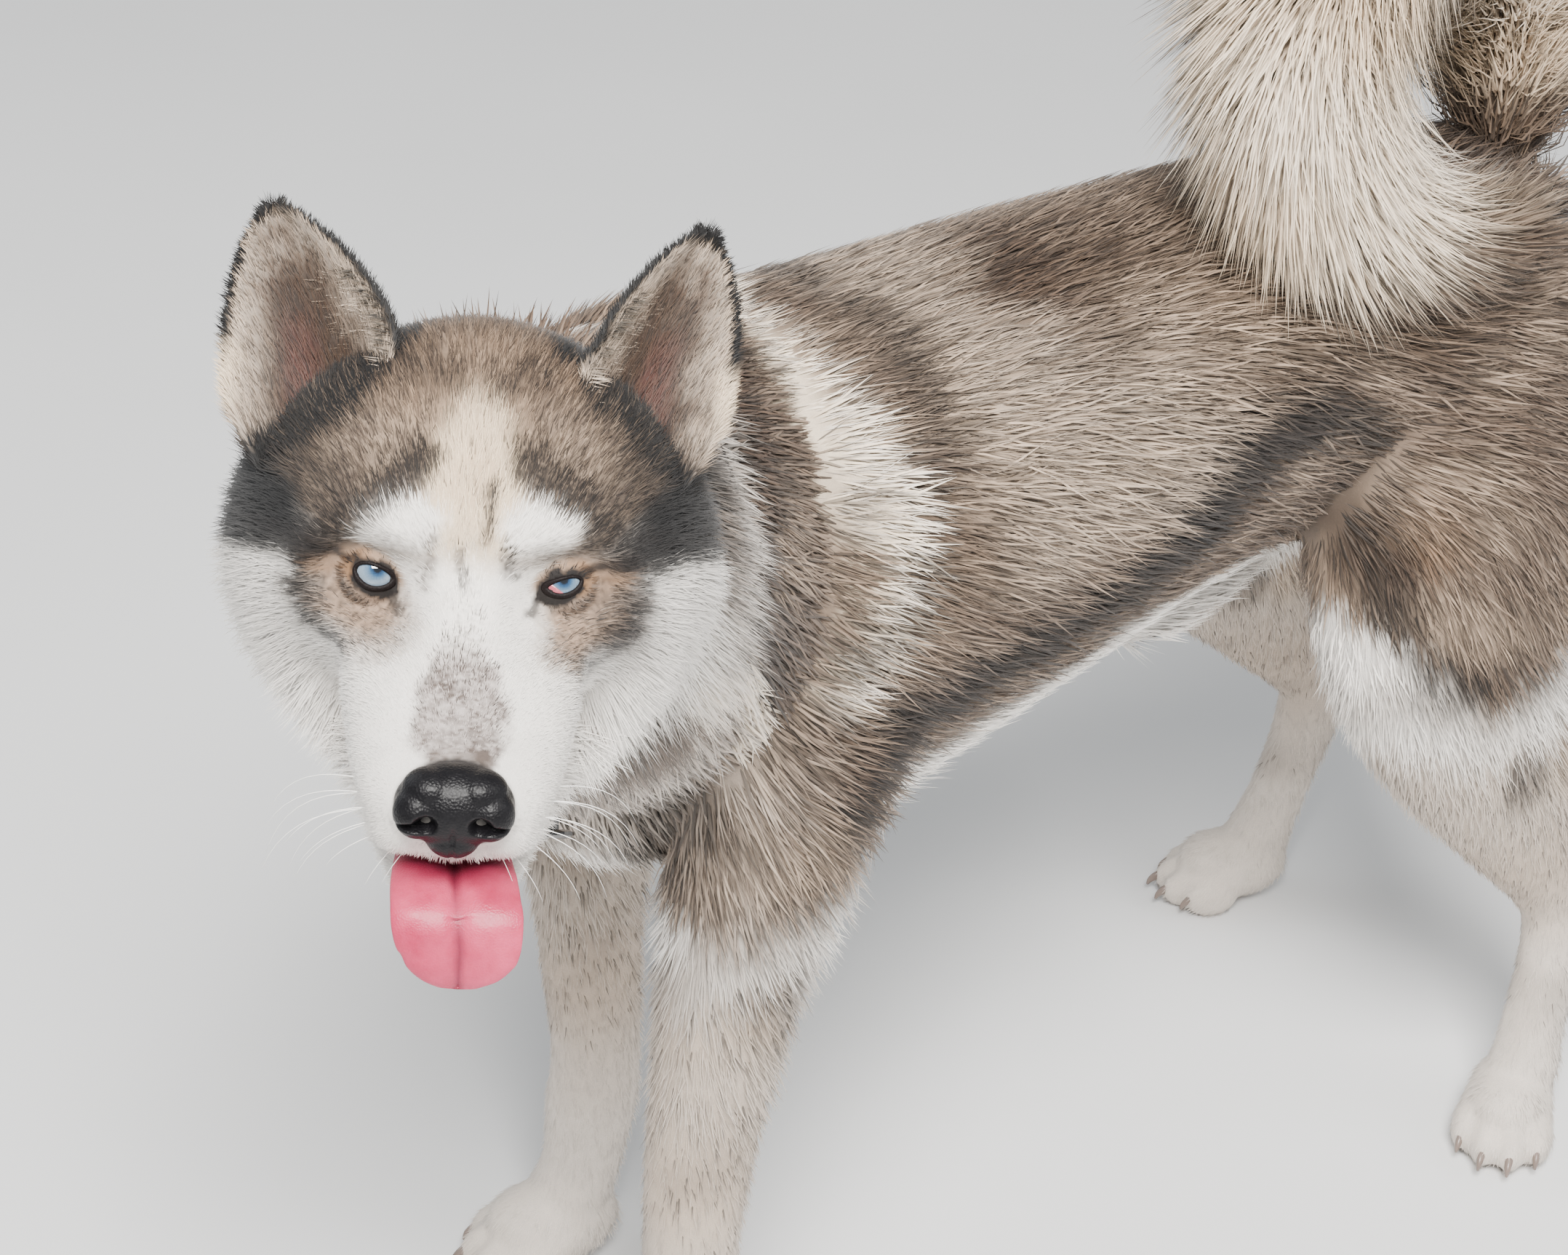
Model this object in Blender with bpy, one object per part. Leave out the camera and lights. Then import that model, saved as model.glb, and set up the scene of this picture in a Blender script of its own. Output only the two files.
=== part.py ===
# A life-size siberian husky, standing with its head turned to its left and its tail curled over its back.
# Metres, +Z up. The dog faces -Y and its left is +X.
# The origin is on the floor, under the middle of the model.

import math
import random

import bmesh
import bpy
from mathutils import Euler, Matrix, Vector
from mathutils.bvhtree import BVHTree

# Driving sizes of the whole animal
GAP = 0.0003
LEFT = Vector((1, 0, 0))
BODY_VOXEL = 0.0042
HEAD_VOXEL = 0.0026
TAIL_VOXEL = 0.0045
BODY_FACES = 2350
HEAD_FACES = 1100
TAIL_FACES = 480

# Torso sections: y, top, bottom and half width of the coat, breast end to rump
TORSO = [
    (-0.290, 0.430, 0.345, 0.040),
    (-0.270, 0.485, 0.300, 0.074),
    (-0.235, 0.538, 0.276, 0.098),
    (-0.180, 0.562, 0.280, 0.114),
    (-0.110, 0.558, 0.298, 0.116),
    (-0.030, 0.556, 0.320, 0.113),
    (0.050, 0.554, 0.340, 0.106),
    (0.120, 0.552, 0.348, 0.102),
    (0.190, 0.548, 0.340, 0.106),
    (0.255, 0.535, 0.335, 0.100),
    (0.296, 0.514, 0.344, 0.086),
    (0.320, 0.494, 0.360, 0.070),
    (0.334, 0.472, 0.382, 0.050),
]
TORSO_EGG = 0.19
LOIN_SEAM = 0.045

# Neck sections: centre, half width and half height, shoulders to skull
NECK = [
    ((0.000, -0.110, 0.440), 0.100, 0.112),
    ((0.006, -0.185, 0.448), 0.102, 0.118),
    ((0.030, -0.250, 0.472), 0.100, 0.114),
    ((0.064, -0.300, 0.506), 0.096, 0.101),
    ((0.097, -0.340, 0.546), 0.090, 0.089),
]

# Legs of the left side: centre, half width and half depth, top to fetlock
FORELEG = [
    ((0.068, -0.180, 0.400), 0.042, 0.064),
    ((0.073, -0.198, 0.345), 0.038, 0.048),
    ((0.075, -0.213, 0.300), 0.033, 0.039),
    ((0.075, -0.224, 0.250), 0.0295, 0.033),
    ((0.073, -0.234, 0.180), 0.0260, 0.0285),
    ((0.072, -0.238, 0.125), 0.0240, 0.0260),
    ((0.072, -0.240, 0.092), 0.0255, 0.0265),
    ((0.073, -0.245, 0.055), 0.0225, 0.0235),
    ((0.074, -0.255, 0.028), 0.0245, 0.0260),
]
FOREPAW = ((0.075, -0.267), 8.0, 1.0)
FORELEG_BACK = 0.046
FORELEG_OUT = 0.010
FORE_SHARE = 0.85
FORE_WRIST = 0.052

HINDLEG = [
    ((0.058, 0.215, 0.450), 0.046, 0.092),
    ((0.074, 0.205, 0.385), 0.052, 0.098),
    ((0.092, 0.198, 0.325), 0.046, 0.082),
    ((0.102, 0.214, 0.265), 0.038, 0.060),
    ((0.106, 0.248, 0.205), 0.0285, 0.042),
    ((0.108, 0.283, 0.150), 0.0215, 0.0310),
    ((0.110, 0.287, 0.115), 0.0195, 0.0255),
    ((0.113, 0.277, 0.070), 0.0185, 0.0215),
    ((0.117, 0.268, 0.035), 0.0215, 0.0235),
]
HINDPAW = ((0.124, 0.252), 36.0, 0.94)
HIND_ANKLE = 0.047
THIGH_SEAM = 0.262
HIND_SHARE = 0.5
RIGHT_HIND_TURN = 22.0
RIGHT_HIND_BACK = 0.042
RIGHT_HIND_OUT = 0.016

# Head frame: origin midway between the eyes, +x to the dog's left, -y along the muzzle
HEAD_PLACE = Vector((0.175, -0.395, 0.582))
HEAD_TURN = (-10.8, 4.6, 59.0)
HEAD = [
    ((0.0, 0.128, -0.006), 0.056, 0.050),
    ((0.0, 0.102, -0.007), 0.080, 0.076),
    ((0.0, 0.064, -0.010), 0.0885, 0.0890),
    ((0.0, 0.034, -0.014), 0.0790, 0.0770),
    ((0.0, 0.018, -0.017), 0.0680, 0.0625),
    ((0.0, 0.004, -0.0245), 0.0530, 0.0410),
    ((0.0, -0.014, -0.0315), 0.0435, 0.0300),
    ((0.0, -0.032, -0.0380), 0.0400, 0.0275),
    ((0.0, -0.058, -0.0445), 0.0365, 0.0240),
    ((0.0, -0.082, -0.0470), 0.0310, 0.0205),
    ((0.0, -0.0935, -0.0465), 0.0240, 0.0175),
    ((0.0, -0.0990, -0.0500), 0.0150, 0.0105),
]
HEAD_SQUARE = 1.9
BROW_RIDGE = ((0.030, 0.006, 0.013), (0.019, 0.014, 0.010))
LIP = ((0.0165, -0.066, -0.0560), (0.0150, 0.0300, 0.0135))
EAR_ROOT = ((0.053, 0.078, 0.034), (0.023, 0.016, 0.024))
JAW = [
    ((0.0, 0.040, -0.072), 0.040, 0.022),
    ((0.0, 0.006, -0.079), 0.034, 0.0175),
    ((0.0, -0.028, -0.0845), 0.0280, 0.0130),
    ((0.0, -0.056, -0.0870), 0.0220, 0.0100),
    ((0.0, -0.074, -0.0860), 0.0145, 0.0078),
]
NOSE = ((0.0, -0.0965, -0.0418), (0.0194, 0.0125, 0.0138))
TONGUE = [
    ((0.000, -0.030, -0.0715), 0.0160, 0.0024),
    ((0.000, -0.062, -0.0725), 0.0185, 0.0028),
    ((0.001, -0.084, -0.0735), 0.0205, 0.0030),
    ((0.002, -0.0960, -0.0770), 0.0210, 0.0031),
    ((0.003, -0.1015, -0.0850), 0.0212, 0.0030),
    ((0.004, -0.1030, -0.0940), 0.0200, 0.0028),
    ((0.004, -0.1020, -0.1005), 0.0140, 0.0022),
]
EYE_PLACE = Vector((0.0320, 0.0085, -0.0020))
EYE_RADIUS = 0.0110
EYE_OUTWARD = 24.0
EYE_HOLLOW = (0.0270, 0.0225)
EYE_SEAT = 0.62
LID_HALF_WIDTH = 0.0093
LID_THICKNESS = 0.0022
EAR_BASE = Vector((0.0560, 0.056, 0.040))
EAR_TIP = Vector((0.0745, 0.080, 0.1070))
EAR_ACROSS = Vector((0.78, 0.05, -0.62))
EAR_HALF_WIDTH = 0.0325
EAR_CUP = 0.020
EAR_THICKNESS = 0.0036

# Collar under the ruff, with a small tag at the throat
COLLAR_INSET = 0.83
COLLAR_WIDTH = 0.020
COLLAR_THICKNESS = 0.003
COLLAR_GROOVE = 0.060
TAG_PLACE = Vector((0.1185, -0.3315, 0.4195))
TAG_SIZE = (0.017, 0.005, 0.024)

# Locks of the long coat: length, width, thickness, standing angle at the root and at the tip in degrees
TAIL_LOCK = (0.078, 0.046, 0.0065, 46.0, 10.0)
RUFF_LOCK = (0.070, 0.047, 0.0060, 32.0, -2.0)
CHEEK_LOCK = (0.042, 0.028, 0.0050, 34.0, 2.0)
CHEST_LOCK = (0.056, 0.036, 0.0055, 28.0, 4.0)
BREECH_LOCK = (0.060, 0.040, 0.0055, 28.0, 4.0)
BELLY_LOCK = (0.050, 0.032, 0.0045, 24.0, 4.0)
LOCK_SHARES = (0.0, 0.42, 0.76)
LOCK_BREADTHS = (0.66, 1.0, 0.62)
LOCK_SINK = 0.009
LOCK_TRIES = ((1.0, 0.0), (0.85, 8.0), (0.72, 16.0), (0.58, 22.0), (0.45, 30.0))
LOCK_VARY = 0.15
LOCK_SWAY = 11.0
RUFF_ROWS = (0.112, 0.086, 0.026)
RUFF_ROUND = 11
CHEEK_ROWS = (0.060, 0.088)
CHEEK_ROUND = 9
CHEST_ROWS = ((-0.258, -0.55, 60.0), (-0.225, -0.15, 50.0), (-0.190, 0.10, 32.0))
BELLY_ROWS = (-0.150, -0.110, -0.070, -0.030, 0.010)
BREECH_ROWS = (0.396, 0.352, 0.308)
BREECH_TURNS = (25.0, 62.0, 98.0)
RUMP_ROWS = ((0.450, 0.25), (0.410, -0.10))
SEED = 7

# Tail: a curl over the back, seen from the side as a ring
TAIL_CENTRE = Vector((0.0, 0.168, 0.606))
TAIL_RING = 0.078
TAIL_START = -46.0
TAIL_END = 292.0
TAIL_SIDE = 0.098
TAIL_COAT = 0.064
TAIL_CORE = 0.58
TAIL_SPLITS = (0.0, 0.30, 0.62, 1.0)
TAIL_ROWS = (3, 4, 5)
TAIL_ROUND = 6
TAIL_INNER = 0.40
TAIL_FOLLOW = 13.0


def clear_scene():
    for item in list(bpy.data.objects):
        bpy.data.objects.remove(item, do_unlink=True)


def material(name, colour, roughness):
    made = bpy.data.materials.new(name)
    made.use_nodes = True
    shader = made.node_tree.nodes["Principled BSDF"]
    shader.inputs["Base Color"].default_value = (*colour, 1.0)
    shader.inputs["Roughness"].default_value = roughness
    shader.inputs["Metallic"].default_value = 0.0
    return made


def mesh_object(name, points, faces):
    mesh = bpy.data.meshes.new(name)
    mesh.from_pydata([tuple(p) for p in points], [], faces)
    work = bmesh.new()
    work.from_mesh(mesh)
    bmesh.ops.recalc_face_normals(work, faces=work.faces)
    work.to_mesh(mesh)
    work.free()
    made = bpy.data.objects.new(name, mesh)
    bpy.context.scene.collection.objects.link(made)
    return made


def remove(items):
    for item in items:
        bpy.data.objects.remove(item, do_unlink=True)


def apply_modifiers(item):
    bpy.context.view_layer.update()
    graph = bpy.context.evaluated_depsgraph_get()
    mesh = bpy.data.meshes.new_from_object(item.evaluated_get(graph))
    item.modifiers.clear()
    item.data = mesh


def copy_of(item, name):
    made = bpy.data.objects.new(name, item.data.copy())
    bpy.context.scene.collection.objects.link(made)
    return made


def boolean(item, others, operation, solver="EXACT", drop=True):
    group = bpy.data.collections.new("operands")
    bpy.context.scene.collection.children.link(group)
    for other in others:
        group.objects.link(other)
    step = item.modifiers.new("boolean", "BOOLEAN")
    step.operand_type = "COLLECTION"
    step.collection = group
    step.operation = operation
    step.solver = solver
    apply_modifiers(item)
    for other in others:
        group.objects.unlink(other)
    bpy.data.collections.remove(group)
    if drop:
        remove(others)
    return keep_largest(item)


def keep_largest(item):
    """Keep the closed surface that encloses the most."""
    work = bmesh.new()
    work.from_mesh(item.data)
    bmesh.ops.remove_doubles(work, verts=work.verts, dist=1e-7)
    work.faces.index_update()
    seen = set()
    shells = []
    for face in work.faces:
        if face.index in seen:
            continue
        shell = []
        front = [face]
        seen.add(face.index)
        while front:
            one = front.pop()
            shell.append(one)
            for edge in one.edges:
                for near in edge.link_faces:
                    if near.index not in seen:
                        seen.add(near.index)
                        front.append(near)
        shells.append(shell)
    volumes = [sum(shell_volume(f) for f in shell) for shell in shells]
    best = volumes.index(max(volumes))
    loose = [f for k, shell in enumerate(shells) if k != best for f in shell]
    if loose:
        bmesh.ops.delete(work, geom=loose, context="FACES")
    work.to_mesh(item.data)
    work.free()
    return item


def shell_volume(face):
    corners = [v.co for v in face.verts]
    total = 0.0
    for one, two in zip(corners[1:-1], corners[2:]):
        total += corners[0].dot(one.cross(two))
    return total


def smooth_between(rows, fine):
    """Catmull-Rom rows of numbers between the given rows."""
    out = []
    last = len(rows) - 1
    for k in range(last):
        a = rows[max(k - 1, 0)]
        b = rows[k]
        c = rows[k + 1]
        d = rows[min(k + 2, last)]
        for step in range(fine):
            t = step / fine
            row = []
            for p, q, r, s in zip(a, b, c, d):
                bend = (2 * p - 5 * q + 4 * r - s) * t * t + (3 * q - p - 3 * r + s) * t ** 3
                row.append(0.5 * (2 * q + (r - p) * t + bend))
            out.append(row)
    out.append(list(rows[-1]))
    return out


def tube(name, stations, sides=20, fine=3, egg=0.0, square=2.0, groove=0.0, cap=0.5):
    """A closed tube through stations of centre, half width and half depth."""
    rows = smooth_between([(*centre, a, b) for centre, a, b in stations], fine)
    centres = [Vector(row[:3]) for row in rows]
    points = []
    faces = []
    for k, row in enumerate(rows):
        before = centres[max(k - 1, 0)]
        after = centres[min(k + 1, len(rows) - 1)]
        along = (after - before).normalized()
        side = (LEFT - along * LEFT.dot(along)).normalized()
        up = side.cross(along)
        for n in range(sides):
            angle = 2 * math.pi * n / sides
            c = math.cos(angle)
            s = math.sin(angle)
            c = math.copysign(abs(c) ** (2 / square), c)
            s = math.copysign(abs(s) ** (2 / square), s)
            reach = row[3] * c * (1 + egg * s)
            rise = row[4] * s
            if groove and s > 0:
                rise -= groove * math.exp(-(c / 0.18) ** 2)
            points.append(centres[k] + side * reach + up * rise)
    for k in range(len(rows) - 1):
        for n in range(sides):
            m = (n + 1) % sides
            faces.append((k * sides + n, k * sides + m, (k + 1) * sides + m, (k + 1) * sides + n))
    ends = ((0, -1), (len(rows) - 1, 1))
    for k, way in ends:
        near = centres[k - way]
        reach = min(rows[k][3], rows[k][4]) * cap
        pole = centres[k] + (centres[k] - near).normalized() * reach
        points.append(pole)
        for n in range(sides):
            faces.append((k * sides + n, k * sides + (n + 1) % sides, len(points) - 1))
    return mesh_object(name, points, faces)


def ball(name, centre, radii, turn=None, segments=24, rings=14):
    mesh = bpy.data.meshes.new(name)
    work = bmesh.new()
    bmesh.ops.create_uvsphere(work, u_segments=segments, v_segments=rings, radius=1.0)
    work.to_mesh(mesh)
    work.free()
    size = Matrix.Diagonal((*radii, 1.0))
    spin = turn.to_matrix().to_4x4() if turn else Matrix.Identity(4)
    mesh.transform(Matrix.Translation(centre) @ spin @ size)
    made = bpy.data.objects.new(name, mesh)
    bpy.context.scene.collection.objects.link(made)
    return made


def melt(name, pieces, voxel, smoothing, factor=0.5):
    """Join closed pieces into one skin and soften where they meet."""
    work = bmesh.new()
    for piece in pieces:
        work.from_mesh(piece.data)
    mesh = bpy.data.meshes.new(name)
    work.to_mesh(mesh)
    work.free()
    remove(pieces)
    made = bpy.data.objects.new(name, mesh)
    bpy.context.scene.collection.objects.link(made)
    step = made.modifiers.new("remesh", "REMESH")
    step.mode = "VOXEL"
    step.voxel_size = voxel
    step.adaptivity = 0.0
    soft = made.modifiers.new("soften", "SMOOTH")
    soft.factor = factor
    soft.iterations = smoothing
    apply_modifiers(made)
    return keep_largest(made)


def thin_out(item, faces):
    """Bring a dense skin down to a number of triangles."""
    now = sum(len(p.vertices) - 2 for p in item.data.polygons)
    step = item.modifiers.new("decimate", "DECIMATE")
    step.ratio = min(1.0, faces / now)
    apply_modifiers(item)
    return item


def press(item, centre, radii, push):
    """Move the skin round a point by a soft bump."""
    for vertex in item.data.vertices:
        away = vertex.co - centre
        reach = sum((away[k] / radii[k]) ** 2 for k in range(3))
        if reach < 1.0:
            vertex.co += push * (1.0 - reach) ** 2


def grown(item, name, margin):
    made = copy_of(item, name)
    normals = [v.normal.copy() for v in made.data.vertices]
    for vertex, normal in zip(made.data.vertices, normals):
        vertex.co += normal * margin
    return made


def half_space(name, point, normal, offset=0.0, reach=1.2):
    """A large block whose face lies through the point and which fills the side against the normal."""
    normal = Vector(normal).normalized()
    turn = normal.to_track_quat("Z", "Y").to_matrix().to_4x4()
    mesh = bpy.data.meshes.new(name)
    work = bmesh.new()
    bmesh.ops.create_cube(work, size=reach)
    work.to_mesh(mesh)
    work.free()
    centre = Vector(point) + normal * (offset - reach / 2)
    mesh.transform(Matrix.Translation(centre) @ turn)
    made = bpy.data.objects.new(name, mesh)
    bpy.context.scene.collection.objects.link(made)
    return made


def block(name, corners):
    """The convex block round the given corners."""
    mesh = bpy.data.meshes.new(name)
    work = bmesh.new()
    for corner in corners:
        work.verts.new(corner)
    bmesh.ops.convex_hull(work, input=work.verts)
    work.to_mesh(mesh)
    work.free()
    made = bpy.data.objects.new(name, mesh)
    bpy.context.scene.collection.objects.link(made)
    return made


def finish(item, name, skin, smooth_angle=40.0):
    item.name = name
    item.data.name = name
    item.data.materials.clear()
    item.data.materials.append(skin)
    item.data.shade_smooth()
    item.data.set_sharp_from_angle(angle=math.radians(smooth_angle))
    return item


def paw_pieces(name, place, heading, size):
    """One paw with four toes, its heading in degrees turned outward from -Y."""
    turn = Matrix.Translation((place[0], place[1], 0.0)) @ Matrix.Rotation(math.radians(heading), 4, "Z")
    pieces = [
        ball(name, (0, 0.010, 0.024), (0.025, 0.034, 0.023)),
        ball(name, (0, -0.002, 0.030), (0.022, 0.026, 0.016)),
    ]
    for across, forward in ((-0.0205, -0.012), (-0.0075, -0.023), (0.0075, -0.023), (0.0205, -0.012)):
        spread = Euler((0, 0, across * 12.0))
        pieces.append(ball(name, (across, forward, 0.0130), (0.0098, 0.0190, 0.0155), spread))
        knuckle = (across * 0.92, forward + 0.012, 0.0225)
        pieces.append(ball(name, knuckle, (0.0085, 0.0150, 0.0105), spread))
    for piece in pieces:
        piece.data.transform(turn @ Matrix.Scale(size, 4))
    return pieces


def claw_pieces(name, place, heading, size):
    turn = Matrix.Translation((place[0], place[1], 0.0)) @ Matrix.Rotation(math.radians(heading), 4, "Z")
    pieces = []
    for across, forward in ((-0.0215, -0.0265), (-0.0078, -0.0385), (0.0078, -0.0385), (0.0215, -0.0265)):
        rows = [
            ((across, forward + 0.004, 0.0140), 0.0022, 0.0026),
            ((across * 1.03, forward - 0.0045, 0.0105), 0.0018, 0.0022),
        ]
        claw = tube(name, rows, sides=5, fine=1, cap=2.2)
        claw.data.transform(turn @ Matrix.Scale(size, 4))
        pieces.append(claw)
    return pieces


def leg_stations(stations, side, back, out, foot):
    """One leg's stations on either side, set back and out below the body, and less at the foot."""
    rows = []
    for (x, y, z), a, b in stations:
        share = min(1.0, max(0.0, (0.42 - z) / 0.28))
        share *= 1.0 - (1.0 - foot) * max(0.0, 0.14 - z) / 0.14
        rows.append(((side * (x + out * share), y + back * share, z), a, b))
    return rows


def body_skin():
    """Torso, neck and the four legs as one soft skin."""
    torso = [((0, y, (top + low) / 2), half, (top - low) / 2) for y, top, low, half in TORSO]
    pieces = [
        tube("torso", torso, sides=28, egg=TORSO_EGG, square=2.15, cap=0.22),
        tube("neck", NECK, sides=24),
    ]
    for side in (1, -1):
        right = side < 0
        pieces.append(ball("shoulder", (side * 0.070, -0.186, 0.420), (0.044, 0.062, 0.092)))
        pieces.append(ball("haunch", (side * 0.064, 0.212, 0.425), (0.050, 0.096, 0.098)))
        fore = (FORELEG_BACK, FORELEG_OUT, FORE_SHARE) if right else (0.0, 0.0, 1.0)
        hind = (RIGHT_HIND_BACK, RIGHT_HIND_OUT, HIND_SHARE) if right else (0.0, 0.0, 1.0)
        pieces.append(tube("foreleg", leg_stations(FORELEG, side, *fore)))
        pieces.append(tube("hindleg", leg_stations(HINDLEG, side, *hind)))
    for place, heading, size in paws().values():
        pieces += paw_pieces("paw", place, heading, size)
    # The sheath under the loin
    pieces.append(ball("sheath", (0.0, 0.105, 0.338), (0.017, 0.058, 0.022), Euler((0.35, 0, 0))))
    return melt("body", pieces, BODY_VOXEL, 7)


def paws():
    (fx, fy), fore_turn, fore_size = FOREPAW
    (hx, hy), hind_turn, hind_size = HINDPAW
    fore_right = (-fx - FORELEG_OUT * FORE_SHARE, fy + FORELEG_BACK * FORE_SHARE)
    hind_right = (-hx - RIGHT_HIND_OUT * HIND_SHARE, hy + RIGHT_HIND_BACK * HIND_SHARE)
    return {
        "forepaw_left": ((fx, fy), fore_turn, fore_size),
        "forepaw_right": (fore_right, -fore_turn, fore_size),
        "hindpaw_left": ((hx, hy), hind_turn, hind_size),
        "hindpaw_right": (hind_right, -RIGHT_HIND_TURN, hind_size),
    }


def head_frame():
    pitch, roll, yaw = (math.radians(a) for a in HEAD_TURN)
    turn = Matrix.Rotation(yaw, 4, "Z") @ Matrix.Rotation(pitch, 4, "X") @ Matrix.Rotation(roll, 4, "Y")
    return Matrix.Translation(HEAD_PLACE) @ turn


def head_skin():
    pieces = [tube("head", HEAD, sides=32, square=HEAD_SQUARE)]
    for side in (1, -1):
        for (x, y, z), radii in (BROW_RIDGE, LIP, EAR_ROOT):
            pieces.append(ball("swell", (x * side, y, z), radii))
    frame = head_frame()
    for piece in pieces:
        piece.data.transform(frame)
    pieces.append(tube("neck", NECK[2:] + [((0.118, -0.362, 0.580), 0.070, 0.074)], sides=24))
    skin = melt("head", pieces, HEAD_VOXEL, 6)
    skin.data.transform(frame.inverted())
    # The eyes lie in shallow hollows, with a furrow between the brows
    for vertex in skin.data.vertices:
        settle_eye(vertex.co)
    for side in (1, -1):
        cheek = Vector((side * 0.046, 0.002, -0.030))
        press(skin, cheek, (0.024, 0.030, 0.022), Vector((-side * 0.004, 0, 0)))
    press(skin, Vector((0, -0.008, 0.030)), (0.014, 0.040, 0.034), Vector((0, 0.0030, 0)))
    return skin


def settle_eye(place):
    """Draw the skin round an eye on to the plane of its lids."""
    dx = abs(place.x) - EYE_PLACE.x
    dz = place.z - EYE_PLACE.z
    away = math.hypot(dx / EYE_HOLLOW[0], dz / EYE_HOLLOW[1])
    if away < 1.0 and place.y < EYE_PLACE.y + 0.02:
        level = EYE_PLACE.y - EYE_RADIUS * EYE_SEAT + dx * math.tan(math.radians(EYE_OUTWARD))
        near = min(1.0, (1.0 - away) * 1.65)
        place.y += (level - place.y) * near * near * (3.0 - 2.0 * near)


def almond(angle, height, drop):
    """A point of the lid's edge, x outward and z up, on the eye's own axes."""
    x = LID_HALF_WIDTH * math.cos(angle)
    lift = height if math.sin(angle) > 0 else drop
    z = lift * abs(math.sin(angle)) ** 1.3 * (1 if math.sin(angle) > 0 else -1)
    return x, z


def lid_ring(name, side, height, drop):
    """The rim of both lids as one closed ring round the opening."""
    count = 14
    around = 5
    points = []
    for k in range(count):
        angle = 2 * math.pi * k / count
        x, z = almond(angle, height, drop)
        rise = 0.12 * x
        reach = EYE_RADIUS + 0.0006
        y = -math.sqrt(max(reach ** 2 - x * x - z * z, 1e-8))
        centre = Vector((x * side, y, z + rise))
        out = centre.normalized()
        radial = Vector((math.cos(angle) * side, 0, math.sin(angle)))
        radial = (radial - out * radial.dot(out)).normalized()
        for n in range(around):
            turn = 2 * math.pi * n / around
            offset = out * math.cos(turn) * LID_THICKNESS + radial * math.sin(turn) * LID_THICKNESS * 1.25
            points.append(centre + radial * LID_THICKNESS * 0.9 + offset)
    faces = []
    for k in range(count):
        m = (k + 1) % count
        for n in range(around):
            j = (n + 1) % around
            faces.append((k * around + n, k * around + j, m * around + j, m * around + n))
    ring = mesh_object(name, points, faces)
    ring.data.transform(eye_frame(side))
    return ring


def eye_frame(side):
    place = Vector((EYE_PLACE.x * side, EYE_PLACE.y, EYE_PLACE.z))
    return Matrix.Translation(place) @ Matrix.Rotation(math.radians(EYE_OUTWARD * side), 4, "Z")


def ear(name, side, thickness=EAR_THICKNESS):
    """A pricked ear: a cupped leaf, open to the front."""
    rows = 7
    columns = 6
    spine = EAR_TIP - EAR_BASE
    up = spine.normalized()
    across = (EAR_ACROSS - up * EAR_ACROSS.dot(up)).normalized()
    back = up.cross(across).normalized()
    if back.y < 0:
        back = -back
    front_points = []
    back_points = []
    for r in range(rows + 1):
        u = -0.30 + 1.30 * r / rows
        high = max(u, 0.0)
        width = EAR_HALF_WIDTH * max(1.0 - high ** 1.75, 0.0) ** 0.72 * (1.0 + 0.10 * math.sin(3.0 * high))
        width = max(width * (1.0 - 0.22 * max(0.0, 0.25 - u) / 0.25), 0.0030)
        cup = EAR_CUP * (1.0 - 0.75 * max(u, 0.0)) * (1.0 + 0.5 * min(u, 0.0))
        for c in range(columns + 1):
            v = -1.0 + 2.0 * c / columns
            lean = Vector((0, 0.004 * math.sin(math.pi * max(u, 0)), 0))
            place = EAR_BASE + spine * u + across * width * v + back * cup * (0.35 - v * v) + lean
            half = thickness / 2 * (1.0 - 0.45 * v * v) * (1.0 - 0.4 * max(u, 0.0))
            normal = (back + across * 2.0 * v * cup / max(width, 0.01)).normalized()
            front_points.append(place - normal * half)
            back_points.append(place + normal * half)
    points = [Vector((p.x * side, p.y, p.z)) for p in front_points + back_points]
    size = columns + 1
    shift = len(front_points)
    faces = []
    for r in range(rows):
        for c in range(columns):
            a = r * size + c
            quad = (a, a + 1, a + size + 1, a + size)
            faces.append((quad[0], quad[1], quad[2]))
            faces.append((quad[0], quad[2], quad[3]))
            faces.append((shift + quad[2], shift + quad[1], shift + quad[0]))
            faces.append((shift + quad[3], shift + quad[2], shift + quad[0]))
    rim = [r * size for r in range(rows)] + [rows * size + c for c in range(columns)]
    rim += [r * size + columns for r in range(rows, 0, -1)] + [c for c in range(columns, 0, -1)]
    for one, two in zip(rim, rim[1:] + rim[:1]):
        faces.append((one, two, shift + two, shift + one))
    return mesh_object(name, points, faces)


def tail_point(angle):
    """Centre line of the curled tail at an angle in degrees round its ring."""
    turn = math.radians(angle)
    share = (angle - TAIL_START) / (TAIL_END - TAIL_START)
    ring = TAIL_RING * (1.0 + 0.95 * max(0.0, 1.0 - share / 0.30) ** 2 - 0.06 * share)
    side = TAIL_SIDE * share ** 1.4
    return TAIL_CENTRE + Vector((side, math.cos(turn) * ring, math.sin(turn) * ring))


def tail_radius(share, depth=1.0):
    """Half thickness of the tail's coat, slim at the root and the tip."""
    swell = math.sin(math.pi * min(1.0, 0.16 + 0.80 * share)) ** 0.7
    return TAIL_COAT * depth * (0.30 + 0.70 * swell)


def tail_stations(first, last, count=14, depth=1.0):
    rows = []
    for k in range(count + 1):
        share = first + (last - first) * k / count
        place = tail_point(TAIL_START + (TAIL_END - TAIL_START) * share)
        radius = tail_radius(share, depth)
        rows.append((tuple(place), radius, radius))
    return rows


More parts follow.
